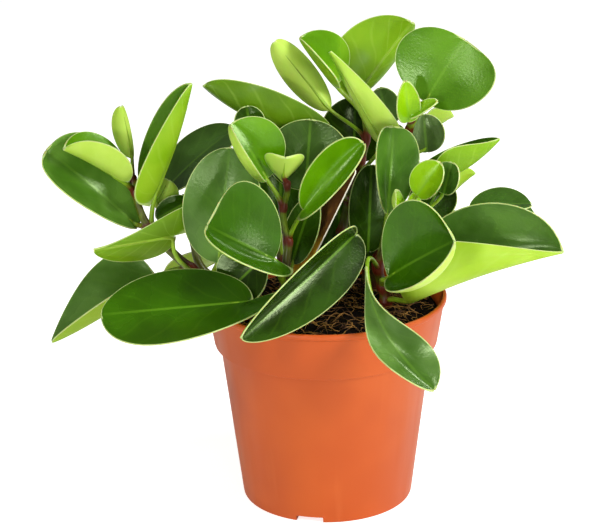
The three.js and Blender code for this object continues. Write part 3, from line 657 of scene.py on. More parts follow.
@dataclass(frozen=True)
class StalkSkin:
    """Stems and leaf stalks: lime to olive, blushed red-brown at the joints, woody at the foot."""

    name: str = "stalk"
    lime: Tint = srgb(146, 186, 34)
    olive: Tint = srgb(86, 92, 8)
    wood: Tint = srgb(70, 40, 18)
    blush: Tint = srgb(106, 34, 12)

    def material(self, grain: Tree) -> Material:
        """Builds the skin's material.

        Args:
            grain: The living skin group.

        Returns:
            The material.
        """
        material, graph, shader = new_material(
            self.name,
            Roughness=0.42,
            Subsurface_Weight=0.1,
            Subsurface_Scale=MM,
        )
        cloud = graph.use(grain, Cloud_scale=130.0, Pebble_scale=1300.0).outputs["Cloud"]
        age = graph.plus(graph.attribute("age"), graph.fit(cloud, 0.3, 0.7, -0.18, 0.18))
        plain = graph.ramp(age, (0.0, self.lime), (0.5, self.olive), (1.0, self.wood))
        reddened = graph.plus(graph.attribute("blush"), graph.fit(cloud, 0.35, 0.65, -0.2, 0.2))
        lines = graph.noise(420.0, 2.0, graph.stretch((1.0, 1.0, 0.22)))
        graph.feed_all(
            shader,
            Base_Color=graph.mix(graph.fit(reddened, 0.1, 0.8), plain, self.blush),
            Normal=graph.bump(lines, 0.35, 0.3),
        )
        return material


@dataclass(frozen=True)
class MarginSkin:
    """The thin pale edge of every blade, which light shines through."""

    name: str = "leaf_margin"
    dull: Tint = srgb(158, 182, 76)

    def material(self, grain: Tree) -> Material:
        """Builds the edge's material.

        Args:
            grain: The living skin group.

        Returns:
            The material.
        """
        material, graph, shader = new_material(
            self.name,
            Roughness=0.38,
            Subsurface_Weight=0.3,
            Subsurface_Scale=MM,
        )
        cloud = graph.use(grain, Cloud_scale=160.0, Pebble_scale=1300.0).outputs["Cloud"]
        share = graph.fit(cloud, 0.35, 0.65, 0.0, 0.5)
        graph.feed_all(shader, Base_Color=graph.mix(share, MARGIN_TINT, self.dull))
        return material


@dataclass(frozen=True)
class PotPlastic:
    """Moulded terracotta plastic: slight upright streaks and a soft sheen."""

    name: str = "terracotta_plastic"
    tint: Tint = srgb(198, 89, 28)
    shade: Tint = srgb(190, 82, 24)
    pale: Tint = srgb(214, 116, 60)

    def material(self) -> Material:
        """Builds the plastic's material."""
        material, graph, shader = new_material(self.name, IOR=1.5, Specular_IOR_Level=0.3)
        streak = graph.noise(90.0, 3.0, graph.stretch((1.0, 1.0, 0.03)))
        body = graph.mix(graph.fit(graph.noise(22.0), 0.35, 0.65), self.tint, self.shade)
        fine = graph.bump(graph.noise(900.0), 0.08, 0.1)
        graph.feed_all(
            shader,
            Base_Color=graph.mix(graph.fit(streak, 0.58, 0.78, 0.0, 0.25), body, self.pale),
            Roughness=graph.fit(streak, 0.35, 0.7, 0.36, 0.48),
            Normal=graph.bump(streak, 0.1, 0.3, fine),
        )
        return material


@dataclass(frozen=True)
class Peat:
    """Dark peat with coir: near black, brown where it is dry."""

    name: str = "peat"
    damp: Tint = srgb(16, 10, 7)
    dry: Tint = srgb(62, 40, 22)

    def material(self) -> Material:
        """Builds the peat's material."""
        material, graph, shader = new_material(self.name, Roughness=1.0, Specular_IOR_Level=0.1)
        crumbs = graph.noise(520.0, 4.0)
        dryness = graph.times(graph.fit(crumbs, 0.5, 0.8), graph.fit(graph.noise(70.0), 0.35, 0.65, 0.1, 0.8))
        colour = graph.mix(dryness, self.damp, self.dry)
        graph.feed_all(shader, Base_Color=colour, Normal=graph.bump(crumbs, 0.9, 0.8))
        return material


@dataclass(frozen=True)
class Coir:
    """Loose golden-brown fibres on the soil."""

    name: str = "coir_fibre"
    gold: Tint = srgb(186, 134, 62)
    brown: Tint = srgb(96, 62, 32)

    def material(self) -> Material:
        """Builds the fibres' material."""
        material, graph, shader = new_material(self.name, Roughness=0.7)
        spread = graph.fit(graph.noise(150.0, 1.0), 0.35, 0.65)
        graph.feed_all(shader, Base_Color=graph.mix(spread, self.brown, self.gold))
        return material


@dataclass(frozen=True)
class CardStock:
    """The plant label's card: brown above, golden at the foot, with a white cut edge. On the face, the brown
    above is partly painted shade of the leaves over the card.
    """

    name: str
    upper: Tint
    lower: Tint
    turn_z_mm: Pair

    def material(self) -> Material:
        """Builds the card's material."""
        material, graph, shader = new_material(self.name, Roughness=0.8, Specular_IOR_Level=0.2)
        height = graph.add("ShaderNodeSeparateXYZ", {"Vector": graph.place()}).outputs["Z"]
        share = graph.fit(height, self.turn_z_mm[0] * MM, self.turn_z_mm[1] * MM)
        cloudy = graph.plus(share, graph.fit(graph.noise(160.0, 3.0), 0.3, 0.7, -0.2, 0.2))
        graph.feed_all(
            shader,
            Base_Color=graph.mix(graph.fit(cloudy, 0.0, 1.0), self.lower, self.upper),
            Normal=graph.bump(graph.noise(1500.0, 1.0), 0.1, 0.1),
        )
        return material


# Shaping


def deselect() -> None:
    """Leaves nothing selected."""
    bpy.ops.object.select_all(action="DESELECT")


def only(piece: Piece) -> Piece:
    """Selects one object alone, makes it active and returns it."""
    deselect()
    piece.select_set(True)
    bpy.context.view_layer.objects.active = piece
    return piece


def finish_modifier(piece: Piece, kind: str, **settings: object) -> None:
    """Adds a modifier with its settings and applies it.

    Args:
        piece: The object.
        kind: The modifier's type.
        **settings: Its settings.
    """
    only(piece)
    modifier = piece.modifiers.new(kind.title(), kind)
    for key, setting in settings.items():
        setattr(modifier, key, setting)
    bpy.ops.object.modifier_apply(modifier=modifier.name)


@contextmanager
def editing() -> Iterator[None]:
    """Edits all of the active mesh, and at the end turns its faces outward."""
    bpy.ops.object.mode_set(mode="EDIT")
    bpy.ops.mesh.select_all(action="SELECT")
    yield
    bpy.ops.mesh.select_all(action="SELECT")
    bpy.ops.mesh.normals_make_consistent(inside=False)
    bpy.ops.object.mode_set(mode="OBJECT")


def new_piece(add: Callable, **settings: object) -> Piece:
    """Adds a primitive with nothing else selected.

    Args:
        add: The operator that adds it.
        **settings: The operator's settings.

    Returns:
        The new object.
    """
    deselect()
    add(**settings)
    return bpy.context.object


def draw_on(rise_mm: float, ratio: float) -> None:
    """Extrudes the selection up or down and scales it about the upright axis."""
    bpy.ops.mesh.extrude_region_move(TRANSFORM_OT_translate={"value": (0, 0, rise_mm * MM)})
    bpy.ops.transform.resize(value=(ratio, ratio, 1), center_override=(0, 0, 0))


def thicken(sheet: Piece, thickness_mm: float, rounding_mm: float, group: str = "") -> None:
    """Makes a sheet a thin closed shell with rounded edges.

    Args:
        sheet: The sheet, with its front, back and edge materials in that order.
        thickness_mm: How thick the shell is.
        rounding_mm: How wide the rounding of its edges is.
        group: The vertex group that says where it is thinner, if any.
    """
    finish_modifier(
        sheet,
        "SOLIDIFY",
        thickness=thickness_mm * MM,
        offset=0.0,
        vertex_group=group,
        material_offset=1,
        material_offset_rim=2,
    )
    finish_modifier(
        sheet,
        "BEVEL",
        width=rounding_mm * MM,
        segments=2,
        limit_method="ANGLE",
        angle_limit=math.radians(60),
    )


def join(pieces: list[Piece], name: str) -> Piece:
    """Joins objects into the first one.

    Args:
        pieces: The objects.
        name: The joined piece's name.

    Returns:
        The joined piece.
    """
    whole = only(pieces[0])
    for piece in pieces[1:]:
        piece.select_set(True)
    if len(pieces) > 1:
        bpy.ops.object.join()
    whole.name = name
    whole.data.name = name
    return whole


def sheet_of(rows: list[list[Vector]], facts: dict[str, list[list[float]]]) -> Piece:
    """Adds a grid and lays its vertices on rows of points.

    Args:
        rows: The points in millimetres, each row from right to left.
        facts: For each attribute, its value at each point.

    Returns:
        The sheet.
    """
    columns = len(rows[0])
    sheet = new_piece(
        bpy.ops.mesh.primitive_grid_add,
        x_subdivisions=columns - 1,
        y_subdivisions=len(rows) - 1,
        size=1,
    )
    mesh = sheet.data
    for index, vertex in enumerate(mesh.vertices):
        row, column = divmod(index, columns)
        vertex.co = rows[row][column] * MM
    for name, table in facts.items():
        values = [value for line in table for value in line]
        mesh.attributes.new(name, "FLOAT", "POINT").data.foreach_set("value", values)
    return sheet


@dataclass
class Ring:
    """One station of a tube: its centre and radius in millimetres, its blush and its age."""

    centre: Vector
    radius: float
    blush: float = 0.0
    age: float = 0.0


def tube(rings: list[Ring], sides: int) -> Piece:
    """Builds a closed tube through rings.

    Args:
        rings: The stations, in order.
        sides: How many sides it has.

    Returns:
        The tube, with its blush and age as attributes.
    """
    directions = [(after.centre - before.centre).normalized() for before, after in zip(rings, rings[1:])]
    middles = [(a + b).normalized() for a, b in zip(directions, directions[1:])]
    tangents = [directions[0], *middles, directions[-1]]
    normal = tangents[0].orthogonal().normalized()
    rows = []
    for index, (ring, tangent) in enumerate(zip(rings, tangents)):
        if index:
            normal = tangents[index - 1].rotation_difference(tangent) @ normal
        side = tangent.cross(normal)
        row = []
        for step in range(sides + 1):
            angle = 2 * math.pi * step / sides
            row.append(ring.centre + (normal * math.cos(angle) + side * math.sin(angle)) * ring.radius)
        rows.append(row)
    facts = {key: [[getattr(ring, key)] * (sides + 1) for ring in rings] for key in ("blush", "age")}
    piece = sheet_of(rows, facts)
    with editing():
        bpy.ops.mesh.remove_doubles(threshold=0.002 * MM)
        bpy.ops.mesh.fill_holes(sides=sides + 1)
    bpy.ops.object.shade_smooth()
    return piece


class StemLine:
    """The smooth line of a stem, measured along its length."""

    SAMPLES_PER_SPAN = 40

    def __init__(self, path: tuple[Triple, ...]) -> None:
        """Takes the points that the stem passes through."""
        corners = [Vector(point) for point in path]
        ends = [corners[0] * 2 - corners[1], *corners, corners[-1] * 2 - corners[-2]]
        self.points = [corners[0]]
        for span in range(len(corners) - 1):
            for step in range(1, self.SAMPLES_PER_SPAN + 1):
                self.points.append(self._between(ends[span : span + 4], step / self.SAMPLES_PER_SPAN))
        self.lengths = [0.0]
        for before, after in zip(self.points, self.points[1:]):
            self.lengths.append(self.lengths[-1] + (after - before).length)
        self.length = self.lengths[-1]

    @staticmethod
    def _between(near: list[Vector], share: float) -> Vector:
        """Finds a point of one span.

        Args:
            near: The point before the span, its two ends and the point after it.
            share: How far along the span, 0 to 1.

        Returns:
            The point.
        """
        before, start, end, after = near
        first, middle, last = (math.sqrt((b - a).length) for a, b in zip(near, near[1:]))
        chord = (end - start) / middle
        leave = ((start - before) / first - (end - before) / (first + middle) + chord) * middle
        arrive = (chord - (after - start) / (middle + last) + (after - end) / last) * middle
        square = (end - start) * 3 - leave * 2 - arrive
        cube = (start - end) * 2 + leave + arrive
        return start + leave * share + square * share**2 + cube * share**3

    def at(self, share: float) -> Vector:
        """The point at a share of the length."""
        target = share * self.length
        for index in range(1, len(self.lengths)):
            before, after = self.lengths[index - 1 : index + 1]
            if after >= target - TINY:
                return self.points[index - 1].lerp(self.points[index], (target - before) / (after - before))
        return self.points[-1].copy()

    def direction(self, share: float) -> Vector:
        """The way that the stem runs at a share of the length."""
        return (self.at(min(share + 0.005, 1.0)) - self.at(max(share - 0.005, 0.0))).normalized()


class Blade:
    """The flat part of one leaf, cupped and bowed as the leaf says."""

    THICKNESS = 1.2
    ROUNDING = 0.2
    END_HALF_WIDTH = 0.8
    REACHES = (0.0, 0.035, 0.08, 0.14, 0.22, 0.32, 0.43, 0.55, 0.67, 0.78, 0.87, 0.94, 0.98, 1.0)
    ROWS = 30
    KEEL = 0.55
    SECTION_STEP = 0.005
    EDGE_SHARE = 0.5
    WAVE = 0.55
    WAVES = (2.6, 1.3)
    FULL_WAVE_WIDTH = 36

    def __init__(self, leaf: Leaf, seed: float) -> None:
        """Takes the leaf and a seed for its own slight waves."""
        self.leaf = leaf
        self.seed = seed
        self.base = Vector(leaf.base)
        chord = Vector(leaf.tip) - self.base
        self.length = chord.length
        self.along = chord.normalized()
        face = Vector(leaf.face)
        self.up = (face - self.along * face.dot(self.along)).normalized()
        self.left = self.up.cross(self.along)
        self.sections = [self._section(fold, curl) for fold, curl in zip(leaf.fold, leaf.curl)]

    def _section(self, fold: float, curl: float) -> list[Pair]:
        """Draws half a cross-section of unit width, rounded at the keel.

        Args:
            fold: The tilt at the midrib, in degrees.
            curl: How much the tilt grows to the margin, in degrees.

        Returns:
            How far out and up the half lies at each reach.
        """
        found = []
        out = up = done = 0.0
        step = self.SECTION_STEP
        for reach in self.REACHES:
            while done < reach - TINY:
                middle = done + step / 2
                eased = 2 * smooth_step(0.5 + middle / self.KEEL / 2) - 1
                tilt = math.radians((fold / (1 - self.KEEL / 3) + curl * middle) * eased)
                out += math.cos(tilt) * step
                up += math.sin(tilt) * step
                done += step
            found.append((out, up))
        return found

    def half_width(self, share: float, half: int) -> float:
        """The width of one half of the blade, at a share of its length."""
        belly = self.leaf.belly[half]
        rise = belly * self.leaf.fullness[half]
        fall = (1 - belly) * self.leaf.fullness[half]
        shape = share**rise * (1 - share) ** fall / (belly**rise * (1 - belly) ** fall)
        return self.END_HALF_WIDTH + (self.leaf.width / 2 - self.END_HALF_WIDTH) * shape

    def point(self, share: float, half: int, column: int, lift: float = 0.0) -> Vector:
        """A point of the blade's middle surface.

        Args:
            share: How far from the base to the tip.
            half: 0 for the left half and 1 for the right.
            column: Which of the reaches.
            lift: How far off the surface, on the top side.

        Returns:
            The point in millimetres.
        """
        leaf = self.leaf
        slope = 4 * leaf.bow * (1 - 2 * share)
        tangent = (self.along + self.up * slope).normalized()
        turn = Quaternion(tangent, math.radians(leaf.twist * smooth_step(share)))
        up = turn @ (self.up - self.along * slope).normalized()
        left = turn @ self.left
        reach = self.REACHES[column]
        width = self.half_width(share, half)
        out, raised = self.sections[half][column]
        sideways = reach if half else -reach
        spot = Vector((share * self.WAVES[0], sideways * self.WAVES[1], self.seed))
        wave = noise.noise(spot) * self.WAVE
        wave *= (0.25 + 0.75 * reach) * min(1.0, leaf.width / self.FULL_WAVE_WIDTH) * smooth_step(share * 6)
        set_back = leaf.lobe[half] * reach**2 * (1 - share) ** 2
        flare = leaf.flare[half] * self.length * reach**2 * (1 - share) ** 3
        return (
            self.base
            + self.along * self.length * (share - set_back)
            + self.up * 4 * leaf.bow * self.length * share * (1 - share)
            + left * (out * width) * (-1 if half else 1)
            + up * (raised * width + wave + flare + lift)
        )

    def from_midrib(self, share: float, half: int, column: int) -> float:
        """How far a point lies from the midrib, in millimetres."""
        return self.REACHES[column] * self.half_width(share, half)

    def from_edge(self, share: float, half: int, column: int) -> float:
        """How far a point lies from the nearest edge, in millimetres, with the base held back."""
        side = (1 - self.REACHES[column]) * self.half_width(share, half)
        return min(side, share * self.length + 1.0, (1 - share) * self.length)

    def build(self, materials: list[Material]) -> Piece:
        """Builds the blade as a thin closed shell with a rounded edge.

        Args:
            materials: The top, the underside and the margin.

        Returns:
            The blade.
        """
        last = len(self.REACHES) - 1
        columns = [(0, column) for column in range(last, 0, -1)] + [(1, column) for column in range(last + 1)]
        shares = [(1 - math.cos(math.pi * row / self.ROWS)) / 2 for row in range(self.ROWS + 1)]

        def over_grid(measure: Callable) -> list[list]:
            """Takes a measure at every point of the blade."""
            return [[measure(share, *column) for column in columns] for share in shares]

        facts = {"across": over_grid(self.from_midrib), "margin": over_grid(self.from_edge)}
        # The tints go on every point; the last is the leaf's share of painted sheen.
        for name in ("tone", "pale", "painted_sheen"):
            facts[name] = [[getattr(self.leaf, name)] * len(columns)] * len(shares)
        blade = sheet_of(over_grid(self.point), facts)
        for material in materials:
            blade.data.materials.append(material)
        body = blade.vertex_groups.new(name="body")
        for index in range(len(shares) * len(columns)):
            reach = self.REACHES[columns[index % len(columns)][1]]
            body.add([index], 1 - (1 - self.EDGE_SHARE) * smooth_step((reach - 0.5) * 2), "REPLACE")
        thicken(blade, self.THICKNESS, self.ROUNDING, "body")
        blade.vertex_groups.clear()
        only(blade)
        bpy.ops.object.shade_smooth()
        return blade


class LeafMaker:
    """Builds a whole leaf: its blade, its stalk and the rib that the stalk becomes under the blade."""

    SINK = 4.0
    BELOW = 0.4
    STEPS = 12
    SIDES = 10
    RADIUS = 1.35
    FOOT_SWELL = 0.55
    FOOT_REACH = 4.5
    TAPER = 0.25
    BLUSH = 0.95
    BLUSH_REACH = 5.5
    FOOT_AGE = 0.12
    RIB_SHARES = (0.08, 0.16, 0.26, 0.38, 0.52, 0.66, 0.8)
    RIB_RADIUS = 0.95
    RIB_END_RADIUS = 0.12

    def __init__(self, leaf: Leaf, line: StemLine, seed: float) -> None:
        """Takes the leaf, the line of its stem and a seed."""
        self.leaf = leaf
        self.line = line
        self.blade = Blade(leaf, seed)

    def stalk(self) -> list[Ring]:
        """Runs the stalk from the stem to the blade, and on as a tapering rib.

        Returns:
            The stalk's rings.
        """
        leaf, blade = self.leaf, self.blade
        start = self.line.at(leaf.at)
        arrival = (blade.along + blade.up * 4 * leaf.bow).normalized()
        end = blade.base + arrival * self.SINK - blade.up * self.BELOW
        reach = (end - start).length / 3
        leave = ((end - start).normalized() + self.line.direction(leaf.at) * 0.5).normalized()
        second = Vector(leaf.via) if leaf.via else start + leave * reach
        third = end - arrival * reach
        size = min(1.0, 0.55 + leaf.width / 90)
        rings = []
        for step in range(self.STEPS + 1):
            share = step / self.STEPS
            rest = 1 - share
            centre = start * rest**3 + second * 3 * rest**2 * share
            centre += third * 3 * rest * share**2
            centre += end * share**3
            distance = (centre - start).length
            swell = self.FOOT_SWELL * fading(distance, self.FOOT_REACH)
            radius = size * (self.RADIUS + swell - self.TAPER * share)
            blush = self.BLUSH * fading(distance, self.BLUSH_REACH)
            rings.append(Ring(centre, radius, blush, self.FOOT_AGE * rest))
        for share in self.RIB_SHARES:
            if share * blade.length < self.SINK * 1.2:
                continue
            radius = size * self.RIB_RADIUS * (1 - share) ** 1.5 + self.RIB_END_RADIUS
            centre = blade.point(share, 0, 0, -0.5 * Blade.THICKNESS + 0.35 * radius)
            rings.append(Ring(centre, radius))
        return rings

    def build(self, materials: dict[str, Material]) -> Piece:
        """Builds the leaf.

        Args:
            materials: The top, under, margin and stalk materials.

        Returns:
            The leaf as one piece.
        """
        blade = self.blade.build([materials["top"], materials["under"], materials["margin"]])
        stalk = tube(self.stalk(), self.SIDES)
        stalk.data.materials.append(materials["stalk"])
        return join([blade, stalk], "leaf")


class StemMaker:
    """Builds a stem with a swollen, reddened joint wherever a leaf leaves it."""

    SIDES = 16
    STEP_MM = 1.6
    SWELL = 0.32
    JOINT_MM = 2.2
    WOBBLE = 0.05
    BLUSH = 0.9
    BLUSH_MM = 3.2
    FOOT_BLUSH = 0.08
    FOOT_AGE = 1.05
    END_AGE = 0.3
    END_TURNS_DEG = (30, 60, 85)

    def __init__(self, stem: Stem) -> None:
        """Takes the stem."""
        self.stem = stem
        self.line = StemLine(stem.path)

    def rings(self) -> list[Ring]:
        """Runs the stem from its foot to a rounded end.

        Returns:
            The stem's rings.
        """
        steps = round(self.line.length / self.STEP_MM)
        joints = [leaf.at for leaf in self.stem.leaves]
        foot, end = self.stem.radius
        found = []
        for step in range(steps + 1):
            share = step / steps
            near = min(abs(share - joint) for joint in joints) * self.line.length
            swell = fading(near, self.JOINT_MM)
            wobble = 1 + self.WOBBLE * noise.noise(Vector((share * 9, foot, end)))
            radius = (foot + (end - foot) * share) * (1 + self.SWELL * swell) * wobble
            blush = min(1.0, self.BLUSH * fading(near, self.BLUSH_MM) + self.FOOT_BLUSH * (1 - share))
            age = self.FOOT_AGE - (self.FOOT_AGE - self.END_AGE) * share
            found.append(Ring(self.line.at(share), radius, blush, age))
        last = found[-1]
        way = self.line.direction(1.0)
        for turn in self.END_TURNS_DEG:
            angle = math.radians(turn)
            centre = last.centre + way * last.radius * math.sin(angle)
            found.append(Ring(centre, last.radius * math.cos(angle), last.blush, last.age))
        return found

    def build(self, materials: dict[str, Material]) -> Piece:
        """Builds the stem and its young leaves as one piece.

        Args:
            materials: The plant's materials.

        Returns:
            The stem.
        """
        stem = tube(self.rings(), self.SIDES)
        stem.data.materials.append(materials["stalk"])
        buds = [
            LeafMaker(leaf, self.line, index + 0.5).build(materials)
            for index, leaf in enumerate(self.stem.leaves)
            if leaf.young
        ]
        return join([stem, *buds], f"growing_stem_{self.stem.name}")


@dataclass
class Plant:
    """All stems and leaves."""

    stems: tuple[Stem, ...]

    def materials(self) -> dict[str, Material]:
        """Builds the living materials.

        Returns:
            The materials by use.
        """
        veins = vein_group()
        grain = grain_group()
        return {
            "top": TOP_SKIN.material(veins, grain),
            "under": UNDER_SKIN.material(veins, grain),
            "margin": MarginSkin().material(grain),
            "stalk": StalkSkin().material(grain),
        }

    def build(self) -> None:
        """Builds and dresses every stem and every grown leaf."""
        materials = self.materials()
        for number, stem in enumerate(self.stems):
            maker = StemMaker(stem)
            settle(maker.build(materials), f"stem_{stem.name}")
            grown = [leaf for leaf in stem.leaves if not leaf.young]
            for index, leaf in enumerate(grown, start=1):
                piece = LeafMaker(leaf, maker.line, number * 10.3 + index * 1.7).build(materials)
                piece.name = f"living_leaf_{stem.name}_{index}"
                settle(piece, f"leaf_{stem.name}_{index}")


def settle(piece: Piece, node: str) -> None:
    """Puts a piece in a node's place, on the part's one body.

    Args:
        piece: The finished piece.
        node: The node that it stands for.
    """
    piece.data.name = piece.name
    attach(piece, "root")
    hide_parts(node)
    triangles = sum(len(face.vertices) - 2 for face in piece.data.polygons)
    log.info("%s: %d triangles", piece.name, triangles)


@dataclass
class Pot:
    """The nursery pot: a tapered body, a wider band over a ledge, a thin lip and a notched foot."""

    height: float = 105.0
    rim_radius: float = 60.0
    band_foot_z: float = 80.5
    band_foot_radius: float = 55.5
    body_top_radius: float = 52.5
    base_radius: float = 42.5
    wall: float = 1.8
    floor_top: float = 5.0
    channel: float = 3.0
    foot_ring: float = 37.0
    centre_foot: float = 20.0
    notch_width: float = 13.5
    notches: int = 3
    first_notch_deg: float = -103.0
    drains: int = 6
    drain_radius: float = 4.0
    drain_circle: float = 28.5
    segments: int = 160

    def profile(self) -> list[Pair]:
        """Lists the outline from the middle of the underside, over the lip, to the inner floor.

        Returns:
            Radius and height of each corner.
        """
        inner_band = self.band_foot_radius - self.wall
        slope = (self.rim_radius - self.band_foot_radius) / (self.height - self.band_foot_z)
        return [
            (self.centre_foot, 0.0),
            (self.centre_foot + 1, self.channel),
            (self.foot_ring - 1, self.channel),
            (self.foot_ring, 0.0),
            (self.base_radius - 0.5, 0.0),
            (self.base_radius - 0.05, 0.2),
            (self.base_radius + 0.2, 0.7),
            (self.base_radius + 0.35, 1.6),
            (self.body_top_radius - 0.05, self.band_foot_z - 1.2),
            (self.body_top_radius + 0.3, self.band_foot_z - 0.6),
            (self.band_foot_radius - 0.9, self.band_foot_z),
            (self.band_foot_radius - 0.3, self.band_foot_z + 0.3),
            (self.band_foot_radius, self.band_foot_z + 1.2),
            (self.rim_radius - slope * 4 - 0.5, self.height - 3.4),
            (self.rim_radius - 0.2, self.height - 2.6),
            (self.rim_radius, self.height - 2.0),
            (self.rim_radius, self.height - 0.9),
            (self.rim_radius - 0.3, self.height - 0.3),
            (self.rim_radius - 0.9, self.height),
            (self.rim_radius - self.wall, self.height - 0.25),
            (self.rim_radius - self.wall - 0.3, self.height - 1.2),
            (inner_band, self.band_foot_z + 1),
            (self.body_top_radius - self.wall, self.band_foot_z - 1),
            (self.base_radius - self.wall + 0.6, self.floor_top),
        ]

    def shell(self) -> Piece:
        """Draws the pot up from a disc, one ring after another.

        Returns:
            The closed shell.
        """
        outline = self.profile()
        shell = new_piece(
            bpy.ops.mesh.primitive_circle_add,
            vertices=self.segments,
            radius=outline[0][0] * MM,
            fill_type="NGON",
            location=(0, 0, outline[0][1] * MM),
        )
        bpy.ops.object.transform_apply(location=True)
        with editing():
            for (near, low), (far, high) in zip(outline, outline[1:]):
                draw_on(high - low, far / near)
        return shell

    def place(self, index: int, count: int, radius: float) -> Matrix:
        """Finds one place of a ring of repeats that starts at the first notch.

        Args:
            index: Which of the repeats.
            count: How many go round.
            radius: How far out, in millimetres.

        Returns:
            The turn and the shift to that place.
        """
        turn = Matrix.Rotation(math.radians(self.first_notch_deg + 360 / count * index), 4, "Z")
        return turn @ Matrix.Translation((radius * MM, 0, 0))

    def notch(self, index: int) -> Piece:
        """Makes the block that cuts one notch in the foot.

        Args:
            index: Which of the notches.

        Returns:
            The block.
        """
        block = new_piece(bpy.ops.mesh.primitive_cube_add, size=1)
        box = Matrix.Diagonal((self.base_radius * MM, self.notch_width * MM, 2 * self.channel * MM, 1))
        middle = self.foot_ring - 2 + self.base_radius / 2
        block.data.transform(self.place(index, self.notches, middle) @ box)
        finish_modifier(block, "BEVEL", width=0.5 * MM, segments=3)
        return block

    def drain(self, index: int) -> Piece:
        """Makes the rod that cuts one drain hole.

        Args:
            index: Which of the holes.

        Returns:
            The rod.
        """
        rod = new_piece(
            bpy.ops.mesh.primitive_cylinder_add,
            vertices=32,
            radius=self.drain_radius * MM,
            depth=4 * self.floor_top * MM,
        )
        rod.data.transform(self.place(index, self.drains, self.drain_circle))
        return rod

    def build(self) -> None:
        """Builds, cuts and dresses the pot."""
        pot = self.shell()
        tools = [self.notch(index) for index in range(self.notches)]
        tools += [self.drain(index) for index in range(self.drains)]
        for tool in tools:
            finish_modifier(pot, "BOOLEAN", operation="DIFFERENCE", solver="EXACT", object=tool)
            bpy.data.objects.remove(tool)
        only(pot)
        bpy.ops.object.shade_smooth_by_angle(angle=math.radians(28))
        pot.name = "nursery_pot"
        pot.data.materials.append(PotPlastic().material())
        settle(pot, "pot")


